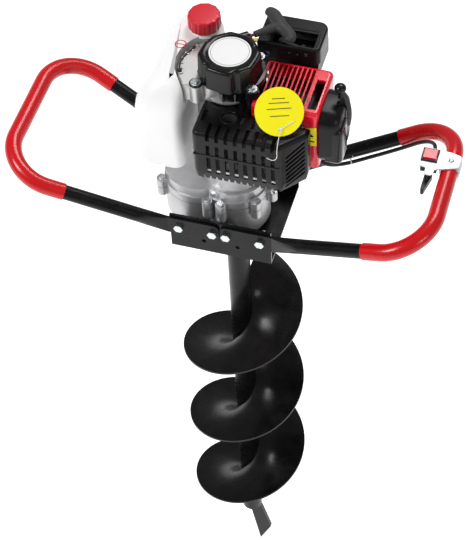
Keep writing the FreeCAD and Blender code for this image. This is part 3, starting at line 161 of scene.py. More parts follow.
def finish(name, colour, other, roughness, spread, metallic=0.0, patches=40, grain=900, depth=0.05, coat=0.0,
           stretch=(1, 1, 1), scuffs=None, **sockets):
    """A material whose colour and gloss drift in patches, with a fine surface grain and, if asked, pale scuffs.

    Patches and grain are in features per metre, and depth is the grain's depth in millimetres.
    """
    material = bpy.data.materials.new(name)
    material.use_nodes = True
    tree = material.node_tree
    shader = tree.nodes["Principled BSDF"]
    shader.inputs["Metallic"].default_value = metallic
    shader.inputs["Coat Weight"].default_value = coat
    shader.inputs["Coat Roughness"].default_value = 0.12
    for socket, value in sockets.items():
        shader.inputs[socket.replace("_", " ")].default_value = value
    drift = noise(tree, patches, 4)
    tint = mix_colour(tree, ranged(tree, drift, *PATCH_RANGE, 0, 1), colour, other)
    gloss = ranged(tree, drift, *PATCH_RANGE, roughness - spread, roughness + spread)
    if scuffs:
        marks = ranged(tree, noise(tree, 260, 8, (1, 1, 0.25), 0.75), *SCUFF_RANGE, 0, 1)
        tint = mix_colour(tree, marks, tint, scuffs)
    tree.links.new(tint, shader.inputs["Base Color"])
    tree.links.new(gloss, shader.inputs["Roughness"])
    soft_edge = tree.nodes.new("ShaderNodeBevel")
    soft_edge.samples = 4
    soft_edge.inputs["Radius"].default_value = 0.8 * MM
    bump = tree.nodes.new("ShaderNodeBump")
    tree.links.new(soft_edge.outputs["Normal"], bump.inputs["Normal"])
    bump.inputs["Strength"].default_value = 1.0
    bump.inputs["Distance"].default_value = depth * MM
    tree.links.new(noise(tree, grain, 2, stretch), bump.inputs["Height"])
    tree.links.new(bump.outputs["Normal"], shader.inputs["Normal"])
    return material


LOOKS = {
    "black_paint": dict(colour=(0.004, 0.004, 0.004), other=(0.007, 0.007, 0.008), roughness=0.24, spread=0.07,
                        grain=420, depth=0.02, scuffs=(0.02, 0.02, 0.02), Specular_IOR_Level=0.2),
    "steel_zinc": dict(colour=(0.74, 0.76, 0.77), other=(0.60, 0.66, 0.68), roughness=0.26, spread=0.06, metallic=1.0,
                       patches=300, grain=2500, depth=0.01),
    "steel_gear": dict(colour=(0.40, 0.40, 0.42), other=(0.32, 0.32, 0.33), roughness=0.30, spread=0.06, metallic=1.0,
                       patches=120, grain=1800, depth=0.01),
    "cast_alu": dict(colour=(0.55, 0.55, 0.56), other=(0.47, 0.47, 0.48), roughness=0.34, spread=0.06, metallic=0.65,
                     patches=60, grain=1300, depth=0.12),
    "alu_silver": dict(colour=(0.66, 0.66, 0.65), other=(0.58, 0.58, 0.57), roughness=0.38, spread=0.06, metallic=0.7,
                       patches=60, grain=1500, depth=0.06),
    "blade_steel": dict(colour=(0.42, 0.42, 0.43), other=(0.30, 0.30, 0.30), roughness=0.32, spread=0.08,
                        metallic=1.0, patches=90, grain=1400, depth=0.03, stretch=(1, 8, 1)),
    "red_rubber": dict(colour=(0.66, 0.002, 0.006), other=(0.56, 0.002, 0.005), roughness=0.25, spread=0.05,
                       patches=18, grain=160, depth=0.12, coat=0.15, Specular_IOR_Level=0.4),
    "black_rubber": dict(colour=(0.02, 0.02, 0.02), other=(0.03, 0.03, 0.03), roughness=0.6, spread=0.08),
    "gasket": dict(colour=(0.10, 0.10, 0.10), other=(0.16, 0.15, 0.14), roughness=0.8, spread=0.05),
    "foam": dict(colour=(0.05, 0.05, 0.055), other=(0.09, 0.09, 0.095), roughness=0.9, spread=0.05, grain=700,
                 depth=0.6),
    "black_plastic": dict(colour=(0.004, 0.004, 0.0045), other=(0.007, 0.007, 0.0075), roughness=0.30, spread=0.06,
                          grain=1600, depth=0.02, Specular_IOR_Level=0.2),
    "red_plastic": dict(colour=(0.84, 0.008, 0.030), other=(0.76, 0.007, 0.026), roughness=0.22, spread=0.05,
                        patches=25, grain=500, depth=0.03, coat=0.3),
    "tank_white": dict(colour=(0.97, 0.97, 0.97), other=(0.94, 0.94, 0.94), roughness=0.34, spread=0.04, patches=12,
                       grain=300, depth=0.06, Subsurface_Weight=0.5, Subsurface_Radius=(0.012, 0.012, 0.011)),
    "red_cap": dict(colour=(0.70, 0.010, 0.028), other=(0.60, 0.008, 0.02), roughness=0.36, spread=0.05, patches=40,
                    grain=1500, depth=0.03),
    "grey_plastic": dict(colour=(0.05, 0.052, 0.056), other=(0.075, 0.078, 0.082), roughness=0.30, spread=0.06,
                         grain=1600, depth=0.03),
    "heat_steel": dict(colour=(0.035, 0.034, 0.033), other=(0.06, 0.057, 0.055), roughness=0.5, spread=0.08,
                       metallic=0.6, patches=50),
    "rope": dict(colour=(0.05, 0.05, 0.05), other=(0.09, 0.09, 0.09), roughness=0.85, spread=0.05, grain=2200,
                 depth=0.3),
    "cable_black": dict(colour=(0.005, 0.005, 0.005), other=(0.009, 0.009, 0.009), roughness=0.33, spread=0.05,
                        grain=500, depth=0.08),
    "hose_yellow": dict(colour=(0.80, 0.56, 0.06), other=(0.70, 0.46, 0.04), roughness=0.3, spread=0.05,
                        Subsurface_Weight=0.4, Subsurface_Radius=(0.003, 0.002, 0.001)),
    "tag_yellow": dict(colour=(1.0, 0.92, 0.0), other=(0.98, 0.88, 0.0), roughness=0.42, spread=0.04, grain=900,
                       depth=0.02),
    "ceramic": dict(colour=(0.85, 0.84, 0.80), other=(0.80, 0.79, 0.75), roughness=0.2, spread=0.05),
    "bracket_white": dict(colour=(0.62, 0.65, 0.67), other=(0.56, 0.59, 0.61), roughness=0.35, spread=0.05,
                          metallic=0.5, grain=900),
    "black_gloss": dict(colour=(0.004, 0.004, 0.004), other=(0.006, 0.006, 0.0065), roughness=0.2, spread=0.04,
                        grain=700, depth=0.02, Specular_IOR_Level=0.3),
    "label_white": dict(colour=(0.86, 0.86, 0.86), other=(0.82, 0.82, 0.82), roughness=0.4, spread=0.04),
    "mark_red": dict(colour=(0.7, 0.01, 0.01), other=(0.6, 0.01, 0.01), roughness=0.4, spread=0.04),
    "mark_grey": dict(colour=(0.10, 0.09, 0.02), other=(0.14, 0.12, 0.02), roughness=0.5, spread=0.04),
    "mark_blue": dict(colour=(0.01, 0.02, 0.12), other=(0.01, 0.02, 0.08), roughness=0.25, spread=0.04),
    "string_white": dict(colour=(0.88, 0.88, 0.86), other=(0.78, 0.78, 0.76), roughness=0.8, spread=0.05, grain=2500,
                         depth=0.2),
}
STYLE = {name: finish(name, **look) for name, look in LOOKS.items()}


def paint_nodes():
    for row in frame["record"]["subparts"]:
        for slot in NODES[row["node"]].material_slots:
            slot.material = STYLE[row["material_slot"]]


paint_nodes()


# ---------------------------------------------------------------- shape helpers
def fillet(corners, steps=6):
    """Points round a polygon whose corners (x, y, radius) are rounded; each corner gives steps + 1 points."""
    points = []
    for index, (x, y, radius) in enumerate(corners):
        here = Vector((x, y))
        before = (Vector(corners[index - 1][:2]) - here).normalized()
        after = (Vector(corners[(index + 1) % len(corners)][:2]) - here).normalized()
        half = before.angle(after) / 2
        centre = here + (before + after).normalized() * radius / math.sin(half)
        first = (here + before * radius / math.tan(half) - centre).normalized()
        last = (here + after * radius / math.tan(half) - centre).normalized()
        points += [centre + first.slerp(last, step / steps) * radius for step in range(steps + 1)]
    return points


def shrunk(corners, amount):
    """A counter-clockwise rounded polygon with its sides moved inwards and its corner radii to suit."""
    moved = []
    for index, (x, y, radius) in enumerate(corners):
        here = Vector((x, y))
        one = (here - Vector(corners[index - 1][:2])).normalized()
        two = (Vector(corners[(index + 1) % len(corners)][:2]) - here).normalized()
        inward, onward = Vector((-one.y, one.x)), Vector((-two.y, two.x))
        step = (inward + onward) * amount / (1 + inward.dot(onward))
        convex = one.x * two.y - one.y * two.x > 0
        moved.append((x + step.x, y + step.y, max(0.4, radius - amount) if convex else radius + amount))
    return moved


def ring_at(corners, amount, z):
    """The outline, moved inwards by an amount, at a height."""
    return level(fillet(shrunk(corners, amount)), z)


def level(outline, z):
    """The outline's points at a height."""
    return [Vector((point.x, point.y, z)) for point in outline]


def polar(radius_at, centre, z, count=144):
    """A ring round a centre whose radius is a function of the angle in degrees."""
    ring = []
    for step in range(count):
        angle = 360 * step / count
        radius = radius_at(angle)
        ring.append(Vector((centre[0] + radius * math.cos(math.radians(angle)),
                            centre[1] + radius * math.sin(math.radians(angle)), z)))
    return ring


def facets(sides, sharpness, turn=0.0):
    """The shape of a polygon as a factor of its radius; sharpness 1 is straight sides, 0 a circle."""
    part = 360 / sides

    def factor(angle):
        off = (angle - turn) % part - part / 2
        return (math.cos(math.radians(part / 2)) / math.cos(math.radians(off))) ** sharpness
    return factor


def dome_rings(corners, top, radius, steps=6):
    """Rings that round the top edge of an upright solid."""
    angles = [math.pi / 2 * step / steps for step in range(steps + 1)]
    return [ring_at(corners, radius * (1 - math.cos(angle)), top - radius + radius * math.sin(angle))
            for angle in angles]


def skin(rings):
    """Vertices and faces of a closed body through rings of equal count."""
    count = len(rings[0])
    vertices = [point for ring in rings for point in ring]
    faces = [tuple(reversed(range(count)))]
    for layer in range(len(rings) - 1):
        base = layer * count
        for index in range(count):
            after = (index + 1) % count
            faces.append((base + index, base + after, base + count + after, base + count + index))
    faces.append(tuple(range(len(vertices) - count, len(vertices))))
    return vertices, faces


def block(low, high):
    """A box between two corners."""
    (x0, y0, z0), (x1, y1, z1) = low, high
    ring = [(x0, y0), (x1, y0), (x1, y1), (x0, y1)]
    return skin([[Vector((x, y, z0)) for x, y in ring], [Vector((x, y, z1)) for x, y in ring]])


def drum(first, last, radius, other=None, count=28):
    """A round bar between two points, or a cone if another radius is given for the second."""
    first, last = Vector(first), Vector(last)
    along = (last - first).normalized()
    side = along.orthogonal().normalized()
    across = along.cross(side)
    rings = []
    for centre, size in ((first, radius), (last, radius if other is None else other)):
        rings.append([centre + (side * math.cos(2 * math.pi * k / count) + across * math.sin(2 * math.pi * k / count))
                      * size for k in range(count)])
    return skin(rings)


def hoop(centre, axis, radius, thick, count=48, around=12):
    """A torus round an axis."""
    axis = Vector(axis).normalized()
    side = axis.orthogonal().normalized()
    across = axis.cross(side)
    vertices, faces = [], []
    for step in range(count):
        out = side * math.cos(2 * math.pi * step / count) + across * math.sin(2 * math.pi * step / count)
        for turn in range(around):
            angle = 2 * math.pi * turn / around
            vertices.append(Vector(centre) + out * (radius + thick * math.cos(angle)) + axis * thick * math.sin(angle))
    for step in range(count):
        for turn in range(around):
            a, b = step * around, ((step + 1) % count) * around
            after = (turn + 1) % around
            faces.append((a + turn, b + turn, b + after, a + after))
    return vertices, faces


def ball(centre, radius, flat=1.0, count=24):
    """A ball, or a button if flat is below 1."""
    rings = []
    for step in range(1, count // 2):
        tilt = math.pi * step / (count // 2)
        rings.append([Vector(centre) + Vector((radius * math.sin(tilt) * math.cos(2 * math.pi * k / count),
                                               radius * math.sin(tilt) * math.sin(2 * math.pi * k / count),
                                               -radius * flat * math.cos(tilt))) for k in range(count)])
    return skin(rings)


def tube(points, wide, tall=None, count=14):
    """A tube through smoothed points; its half width and half height are each a number, or a list for the points."""
    path = smoothed(points)
    widths, heights = (size if isinstance(size, list) else [size] * len(points)
                       for size in (wide, wide if tall is None else tall))
    sizes = smoothed([Vector((*pair, 0)) for pair in zip(widths, heights)])
    rings = []
    normal = Vector((0, 0, 1))
    for index, point in enumerate(path):
        along = (path[min(index + 1, len(path) - 1)] - path[max(index - 1, 0)]).normalized()
        side = along.cross(normal).normalized()
        if side.length < 0.5:
            side = along.orthogonal().normalized()
        normal = side.cross(along).normalized()
        rings.append([point + side * sizes[index].x * math.cos(2 * math.pi * k / count)
                      + normal * sizes[index].y * math.sin(2 * math.pi * k / count) for k in range(count)])
    return skin(rings)


def smoothed(points, steps=6):
    """Catmull-Rom points through the given ones."""
    points = [Vector(point) for point in points]
    ends = [2 * points[0] - points[1]] + points + [2 * points[-1] - points[-2]]
    path = []
    for index in range(1, len(ends) - 2):
        a, b, c, d = ends[index - 1:index + 3]
        for step in range(steps):
            t = step / steps
            path.append(0.5 * (2 * b + (c - a) * t + (2 * a - 5 * b + 4 * c - d) * t ** 2
                               + (3 * b - a - 3 * c + d) * t ** 3))
    return path + [points[-1]]


def raw(name, *shapes):
    """One mesh object from shapes given as vertices and faces in millimetres."""
    vertices, faces = [], []
    for points, sides in shapes:
        base = len(vertices)
        vertices += [Vector(point) * MM for point in points]
        faces += [tuple(base + index for index in side) for side in sides]
    mesh = bpy.data.meshes.new(name)
    mesh.from_pydata(vertices, [], faces)
    mesh.validate()
    work = bmesh.new()
    work.from_mesh(mesh)
    bmesh.ops.recalc_face_normals(work, faces=work.faces)
    work.to_mesh(mesh)
    work.free()
    obj = bpy.data.objects.new(name, mesh)
    bpy.context.scene.collection.objects.link(obj)
    return obj


def settle(obj):
    """Applies the modifiers to the mesh."""
    bpy.context.view_layer.update()
    graph = bpy.context.evaluated_depsgraph_get()
    mesh = bpy.data.meshes.new_from_object(obj.evaluated_get(graph))
    old = obj.data
    obj.modifiers.clear()
    obj.data = mesh
    bpy.data.meshes.remove(old)


def carve(obj, *shapes, solver="EXACT"):
    """Cuts the shapes out of the object."""
    tool = raw("tool", *shapes)
    change = obj.modifiers.new("cut", "BOOLEAN")
    change.operation, change.solver, change.object = "DIFFERENCE", solver, tool
    settle(obj)
    bpy.data.objects.remove(tool)


def smooth(obj):
    for side in obj.data.polygons:
        side.use_smooth = True


def finish_piece(obj, slot, body="root", replaces=(), bevel=0.0, angle=35, segments=2):
    """Bevels, shades and paints a piece, and hangs it on its body; edges sharper than the angle stay sharp."""
    if bevel:
        change = obj.modifiers.new("edges", "BEVEL")
        change.width, change.segments, change.limit_method = bevel * MM, segments, "ANGLE"
        change.angle_limit = math.radians(angle)
        settle(obj)
    obj.data.materials.clear()
    obj.data.materials.append(STYLE[slot])
    smooth(obj)
    obj.data.set_sharp_from_angle(angle=math.radians(angle))
    if bevel:
        weigh = obj.modifiers.new("shading", "WEIGHTED_NORMAL")
        weigh.keep_sharp = True
    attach(obj, body)
    if replaces:
        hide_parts(*replaces)
    return obj


def detail(name, slot, *shapes, body="root", bevel=0.0, angle=35, replaces=()):
    """A finished piece made from shapes."""
    return finish_piece(raw(name, *shapes), slot, body, replaces, bevel, angle)


# ---------------------------------------------------------------- muffler guard
GUARD_TOP, GUARD_BASE, GUARD_FRONT = 1216, 1124, -96
SLOTS, SLOT_PITCH, SLOT_LEFT = 8, 13.4, -7
THROUGH, DENT = 6, 1.8


def front_slots(wide, back, low, high):
    """Cutters for one row of slots through the guard's front, and back from it to a depth."""
    return [block((SLOT_LEFT + SLOT_PITCH * k, GUARD_FRONT - 4, low), (SLOT_LEFT + wide + SLOT_PITCH * k, back, high))
            for k in range(SLOTS)]


def side_louvres():
    """Cutters for the sloping slots across the guard's slanted right side."""
    along = Vector((31, 34, 0)).normalized()
    outward = Vector((along.y, -along.x, 0))
    corner = Vector((100, GUARD_FRONT, 0))
    louvres = []
    for k in range(8):
        low = 1129 + 8.4 * k
        quad = [corner + along * reach + Vector((0, 0, low + rise))
                for reach, rise in ((9, 0), (41, 14), (41, 18.4), (9, 4.4))]
        louvres.append(skin([[q + outward * 5 for q in quad], [q - outward * 7 for q in quad]]))
    return louvres


def make_guard():
    """Black moulded cover: a ringed hole on top, slots that wrap over its front edge, and a toothed lower edge."""
    hole = (17, -57)
    outline = [(-28, -24, 1), (-28, GUARD_FRONT, 9), (100, GUARD_FRONT, 7), (131, -62, 5), (131, -47, 1), (43, -47, 1),
               (43, -24, 1)]
    shell = raw("guard_shell", skin([ring_at(outline, 3, GUARD_BASE), ring_at(outline, 0, GUARD_BASE + 16)]
                                    + dome_rings(outline, GUARD_TOP, 7)))
    hollow = fillet([(-25, -10, 1), (-25, -93, 7), (98.8, -93, 5), (128, -61, 4), (128, -40, 1), (40, -40, 1),
                     (40, -10, 1)])
    carve(shell, skin([level(hollow, GUARD_BASE - 5), level(hollow, GUARD_TOP - 2.6)]))
    carve(shell, *front_slots(5.5, -73, GUARD_TOP - 13, GUARD_TOP + 5))
    carve(shell, *front_slots(5.5, -90, 1176, 1194))
    carve(shell, *front_slots(6, -90, 1139, 1170))
    carve(shell, drum((*hole, GUARD_TOP - 10), (*hole, GUARD_TOP + 5), 10.5),
          *[block((x, front, GUARD_TOP - deep), (x + 5, back, GUARD_TOP + 3)) for x, front, back, deep in
            ((-21, -70, -50, THROUGH), (-7, -40, -30, DENT), (6, -39, -29, DENT), (19, -38, -28, DENT),
             (35, -64, -49, THROUGH), (32, -42, -28, DENT), (51, -70, -50, THROUGH), (66, -70, -50, THROUGH))])
    carve(shell, *[skin([[Vector((x - 2.6, y, 1118)), Vector((x + 2.6, y, 1118)), Vector((x + 0.9, y, 1130)),
                          Vector((x - 0.9, y, 1130))] for y in (-101, -86)]) for x in range(-12, 100, 9)])
    carve(shell, *side_louvres())
    finish_piece(shell, "black_plastic", replaces=["muffler_guard"], bevel=0.7)
    detail("guard_hole_ring", "black_plastic", hoop((*hole, GUARD_TOP), (0, 0, 1), 12, 1.5))
    detail("guard_rib", "black_plastic", block((-26, -96.9, 1171.5), (99, -94, 1175)), bevel=0.6)
    detail("muffler_outlet", "heat_steel", drum((26, -92, 1158), (26, -86, 1158), 11),
           drum((26, -93, 1158), (26, -88, 1158), 6), drum((*hole, 1197), (*hole, 1201), 8))


# ---------------------------------------------------------------- recoil starter
CUP_TOP, CUP_FOOT = 1286.6, 1249.4
CUP_CENTRE, COLLAR_CENTRE, DISC_CENTRE, FAN_CENTRE = (3.5, -2.0), (7.0, 3.0), (4, 0), (-16, 6)
LUG_LEFT, LUG_RIGHT, LUG_BACK = (-37, -34), (42, -27), (35, 37.5)
PULL = Vector((math.cos(math.radians(42)), math.sin(math.radians(42)), 0))
ROPE_FOOT = Vector((-20.07, 22.29, 1268))


def plain(radius):
    """The shape of a circle, for polar."""
    return lambda angle: radius


def away(angle, other):
    """Degrees between two directions, from 0 to 180."""
    return abs((angle - other + 180) % 360 - 180)


def cup_shape(radius, notch):
    """The shape of the cup: eight soft sides with four notches."""
    eight = facets(8, 0.75, 14)

    def at(angle):
        size = radius * eight(angle)
        for place, half in ((152, 9), (28, 8), (-62, 7), (-128, 8)):
            size -= notch * max(0.0, min(1.0, (half - away(angle, place)) / 3))
        return size
    return at


def skirt(angle):
    """The collar's radius: drawn in at the front, and full at the right, over the fan housing."""
    return 36 + 9.5 * max(0.0, min(1.0, (100 - away(angle, 35)) / 20))


def volute(angle):
    """The fan housing's radius: wide at the left and back, drawn in under the cup."""
    return 58 - 19 * max(0.0, min(1.0, (away(angle, 165) - 62) / 22))


def make_cup():
    """Deep lobed cup on a wider collar, with a plain disc on top and lugs for its screws."""
    rings = [polar(skirt, COLLAR_CENTRE, 1215), polar(skirt, COLLAR_CENTRE, 1240),
             polar(plain(45.5), COLLAR_CENTRE, 1245.5), polar(plain(45.8), COLLAR_CENTRE, CUP_FOOT),
             polar(cup_shape(46.5, 1.5), CUP_CENTRE, 1250.2), polar(cup_shape(45.2, 2), CUP_CENTRE, 1256)]
    for drop, shrink in ((6, 0.6), (3.2, 0.9), (1.4, 1.8), (0.3, 3.4), (0, 5)):
        rings.append(polar(cup_shape(45 - shrink, 2.6), CUP_CENTRE, CUP_TOP - drop))
    rings.append(polar(plain(31.5), DISC_CENTRE, CUP_TOP - 0.1))
    rings.append(polar(plain(30.6), DISC_CENTRE, CUP_TOP - 0.9))
    detail("recoil_cover", "black_gloss", skin(rings), replaces=["recoil_housing"], angle=50)
    detail("recoil_disc", "label_white", drum((*DISC_CENTRE, CUP_TOP - 1.2), (*DISC_CENTRE, CUP_TOP - 0.3), 29.6,
                                              count=72))
    detail("recoil_disc_ring", "grey_plastic", hoop((*DISC_CENTRE, CUP_TOP - 0.32), (0, 0, 1), 26.8, 0.28, 72, 6))
    detail("rope_boss", "black_gloss", drum(ROPE_FOOT + PULL * 22, ROPE_FOOT + PULL * 47.5, 9.5, 8.2), bevel=1.0)
    detail("screw_lug_right", "black_gloss", drum((*LUG_RIGHT, 1216.5), (*LUG_RIGHT, CUP_FOOT), 9.6, count=40),
           bevel=1.0)
    detail("screw_lug_left", "alu_silver", drum((*LUG_LEFT, 1217), (*LUG_LEFT, 1247), 9.6, count=40), bevel=1.0)
    detail("screw_ear_left", "black_gloss", drum((*LUG_LEFT, 1246.8), (*LUG_LEFT, CUP_FOOT), 9.8, count=40),
           block((-34, -36, 1246.8), (-12, -20, CUP_FOOT)), bevel=0.8)


def make_fan_housing():
    detail("fan_volute", "alu_silver", skin([polar(volute, FAN_CENTRE, 1214.2), polar(volute, FAN_CENTRE, 1243.5),
                                             polar(lambda angle: volute(angle) - 1.5, FAN_CENTRE, 1245)]),
           replaces=["fan_housing"], angle=40)
    detail("screw_washers", "steel_zinc", *[drum((*place, CUP_FOOT), (*place, 1250.4), 7.6, count=40)
                                            for place in (LUG_LEFT, LUG_RIGHT, LUG_BACK)])


def make_pull():
    """A short rope from the boss to the handle, and the T-shaped handle."""
    first, last = ROPE_FOOT + PULL * 40, ROPE_FOOT + PULL * 58
    rope = raw("pull_rope", tube([first + (last - first) * k / 12 for k in range(13)], 2.2))
    rope.data.materials.append(STYLE["rope"])
    smooth(rope)
    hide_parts("starter_rope")
    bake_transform(rope)
    across = Vector((PULL.y, -PULL.x, 0))
    middle = ROPE_FOOT + PULL * 97
    # along the bar, towards the hand, up; then half the bar's width and half its height there
    stations = ((-37.5, -3.5, 0.5, 3, 2.2), (-34, -2, 0.5, 7.6, 5.2), (-24, 1.5, 0, 9.4, 6.4), (-10, 0.5, 0, 9.6, 6.6),
                (0, -1.5, 0, 11, 6.9), (10, 0.5, 0, 9.6, 6.6), (24, 1.5, 0, 9.4, 6.4), (34, -2, 0.5, 7.6, 5.2),
                (37.5, -3.5, 0.5, 3, 2.2))
    bar = [middle + across * aside + PULL * out + Vector((0, 0, up)) for aside, out, up, wide, tall in stations]
    detail("pull_handle", "black_rubber",
           tube(bar, [station[3] for station in stations], [station[4] for station in stations], 22),
           tube([ROPE_FOOT + PULL * reach for reach in (56, 64, 74, 84, 92)], [4.6, 5.2, 5.8, 7.4, 8.5],
                [4.6, 5.0, 5.4, 6.2, 6.6], 20), body="starter_grip", replaces=["recoil_handle"], angle=60)


# ---------------------------------------------------------------- fuel tank and cap
CAP_CENTRE = (-56, 72)


def make_tank():
    """Blow-moulded tank with a sloping shoulder and soft corners, cut round the fan housing."""

    def corners(left, front, rest):
        return [(-127 + left, -66 + front, 22), (-54 - rest, -66 + front, 13), (-54 - rest, 22, 14),
                (-34 - rest, 52, 14), (-34 - rest, 110 - rest, 14), (-110 + left * 0.75, 110 - rest, 22 - left * 0.35),
                (-127 + left, 74, 30 - left * 0.7)]
    # height, then how far the left side, the front and the other sides are drawn in there
    levels = ((1092, 9, 9, 9), (1094, 4.5, 4.5, 4.5), (1098, 1.6, 1.6, 1.6), (1104, 0.2, 0.2, 0.2), (1150, 0, 0, 0),
              (1196, 0.6, 0.4, 0.2), (1212, 3, 2.5, 0.4), (1224, 8, 7, 0.8), (1234, 14, 12, 1.6), (1242, 20.5, 18, 3),
              (1248, 26, 24, 5), (1252, 31, 30, 8), (1253.8, 35, 36, 10))
    tank = raw("fuel_tank_body", skin([ring_at(corners(left, front, rest), 0, z) for z, left, front, rest in levels]))
    carve(tank, drum((*FAN_CENTRE, 1207), (*FAN_CENTRE, 1300), 61, 62, 96), solver="MANIFOLD")
    finish_piece(tank, "tank_white", replaces=["fuel_tank"], bevel=2.6, angle=40, segments=4)
    detail("tank_neck", "tank_white", drum((*CAP_CENTRE, 1250), (*CAP_CENTRE, 1257), 22, 20.5, 64),
           drum((*CAP_CENTRE, 1252), (*CAP_CENTRE, 1268), 18, count=64), bevel=1.0)
    x, y = -79, 30
    detail("tank_mark", "mark_red", hoop((x, y, 1253.6), (0, 0, 1), 7.6, 0.8, 48, 8),
           block((x - 7, y - 0.7, 1253.2), (x + 7, y + 0.7, 1254.0)))


def make_cap():
    """Faceted screw cap with a low dome and fine ridges."""
    sides = facets(12, 1.0)
    rings = [polar(lambda angle, size=size: size * sides(angle), CAP_CENTRE, z)
             for size, z in ((23.6, 1258.1), (24, 1259.4), (23.8, 1276.4), (22.9, 1278.6))]
    rings += [polar(plain(size), CAP_CENTRE, z) for size, z in ((21, 1279.3), (17, 1279.6), (10, 1279.9), (3, 1280))]
    detail("cap_shell", "red_cap", skin(rings), ball((*CAP_CENTRE, 1279.3), 1.6, 0.4), body="cap",
           replaces=["fuel_cap"], angle=18)
    ridges = []
    for k in range(24):
        angle = math.radians(15 * k)
        low, high = (Vector((CAP_CENTRE[0] + out * math.cos(angle), CAP_CENTRE[1] + out * math.sin(angle), z))
                     for out, z in ((23.3, 1259.5), (23.0, 1276.5)))
        ridges.append(drum(low, high, 0.8, count=10))
    detail("cap_ridges", "red_cap", *ridges, body="cap")


# ---------------------------------------------------------------- air filter, shroud and end cover
def make_filter():
    """Filter cover with a window over its lever and a row of round notches in its front edge."""
    outline = [(22, 66, 3), (114, 66, 9), (114, 128, 14), (22, 128, 8)]
    cover = raw("filter_cover", skin([ring_at(outline, 0, 1222)] + dome_rings(outline, 1250, 4)))
    carve(cover, skin([ring_at(outline, 2.6, 1218), ring_at(outline, 2.6, 1247.4)]))
    carve(cover, skin([level(fillet([(44, 71, 2), (104, 71, 2), (104, 100, 2), (44, 100, 2)]), z)
                       for z in (1244, 1256)]),
          *[drum((x, 60, 1239), (x, 72, 1239), 2.7) for x in (58, 70, 82, 94)])
    finish_piece(cover, "black_plastic", replaces=["air_filter_cover"], bevel=0.9)
    detail("filter_floor", "black_plastic", block((40, 69, 1230.4), (108, 103, 1232.6)))
    detail("filter_cover_ridge", "black_plastic", block((106.2, 74, 1249), (108.4, 98, 1251)),
           block((30, 104, 1249), (104, 107, 1250.8)), block((30, 74, 1249), (33, 100, 1250.8)), bevel=0.6)


def make_shroud():
    """Red cooling cover: ten long slots, one wide opening and a band down its front right corner."""
    outline = [(44, -42, 3), (141, -42, 7), (141, 50, 9), (44, 50, 3)]
    shell = raw("shroud_shell", skin([ring_at(outline, 1, 1128), ring_at(outline, 0, 1190)]
                                     + dome_rings(outline, 1236, 6)))
    room = fillet([(38, -39.4, 1), (138.4, -39.4, 5), (138.4, 47.4, 7), (38, 47.4, 1)])
    carve(shell, skin([level(room, 1120), level(room, 1233.2)]))
    carve(shell, block((40, 46, 1120), (150, 56, 1195)), block((40, -50, 1120), (111, -38, 1212)),
          drum((134, 0, 1170), (150, 0, 1170), 20))
    carve(shell, *[block((49.5 + 6.9 * k, -31, 1226), (54.1 + 6.9 * k, 44, 1240)) for k in range(10)],
          block((122, -32, 1226), (134.5, 26, 1240)))
    carve(shell, skin([[Vector((100, y, 1215)), Vector((100, y, 1110)), Vector((128, y, 1110)),
                        Vector((121, y, 1150)), Vector((118, y, 1215))] for y in (-36, -50)]))
    finish_piece(shell, "red_plastic", replaces=["cylinder_shroud"], bevel=0.8)
    # Painted shade: a black plate under the slots stands in for the shade seen through them; it is not a part of the
    # tool.
    detail("shroud_slot_shade", "black_plastic", block((47, -38, 1206), (136, 46, 1208.5)))
    sticker = [(138.0, 1212), (138.3, 1176), (123.5, 1172), (122.5, 1207)]
    detail("shroud_sticker", "tag_yellow", skin([[Vector((x, -42.35, z)) + Vector((0, lift, 0)) for x, z in sticker]
                                                 for lift in (0.3, 0)]))
    detail("shroud_sticker_mark", "black_plastic", drum((130.5, -42.3, 1194), (130.5, -42.6, 1194), 4.2, count=3),
           block((126, -42.6, 1182), (135, -42.3, 1184)))


def make_end():
    """Rounded cover on the cylinder's end with a side pod and a knob."""

    def upright(corners, stations):
        """A body whose outline stands across the tool, drawn in by an amount at each x."""
        return skin([[Vector((x, point.x, point.y)) for point in fillet(shrunk(corners, amount))]
                     for x, amount in stations])
    face = [(-44, 1134, 30), (32, 1134, 20), (32, 1232, 26), (-44, 1232, 20)]
    detail("end_shell", "black_plastic",
           upright(face, ((141.5, 0), (158, 0.4), (164, 2), (168, 5), (170, 9), (170.5, 13))),
           replaces=["end_cover"], angle=40)
    pod = [(-43, 1142, 10), (-4, 1142, 8), (-4, 1212, 8), (-43, 1212, 10)]
    detail("end_pod", "black_gloss", upright(pod, ((150, 0), (168, 0), (172, 2), (174, 6))), angle=45)
    detail("end_strap", "black_rubber", tube([(172, 4, 1180), (174, 2, 1200), (173, 0, 1222), (168, 0, 1240),
                                              (162, 0, 1250)], [4, 4, 4, 3.5, 3], 2, 12))
    detail("end_knob", "black_gloss", ball((161, 0, 1254), 8.5, 0.8), drum((161, 0, 1236), (161, 0, 1252), 3))


# ---------------------------------------------------------------- tag, cords and small parts
def make_curve(name, points, radius, slot):
    """A round cord along a second-degree B-spline, on the root body."""
    curve = bpy.data.curves.new(name, "CURVE")
    curve.dimensions = "3D"
    curve.bevel_depth = radius * MM
    curve.bevel_resolution = 4
    curve.resolution_u = 12
    spline = curve.splines.new("NURBS")
    spline.points.add(len(points) - 1)
    for point, place in zip(spline.points, points):
        point.co = (*(Vector(place) * MM), 1)
    spline.order_u = 3
    spline.use_endpoint_u = True
    curve.use_fill_caps = True
    obj = bpy.data.objects.new(name, curve)
    bpy.context.scene.collection.objects.link(obj)
    curve.materials.append(STYLE[slot])
    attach(obj, "root")
    return obj


CABLE = [(288, 51, 1096), (288, 68, 1096), (281, 86, 1089), (263, 98, 1074), (236, 101, 1051), (206, 95, 1036),
         (178, 88, 1024), (150, 80, 1013), (126, 70, 1014), (107, 61, 1032), (92, 57, 1062), (85, 57, 1106),
         (85, 57, 1149.9)]
HOSE = [(-33.9, 92, 1200), (-16, 92, 1200), (1, 91, 1196), (15, 87, 1185.5), (29, 79, 1175), (45, 70, 1170),
        (61.9, 70, 1170)]


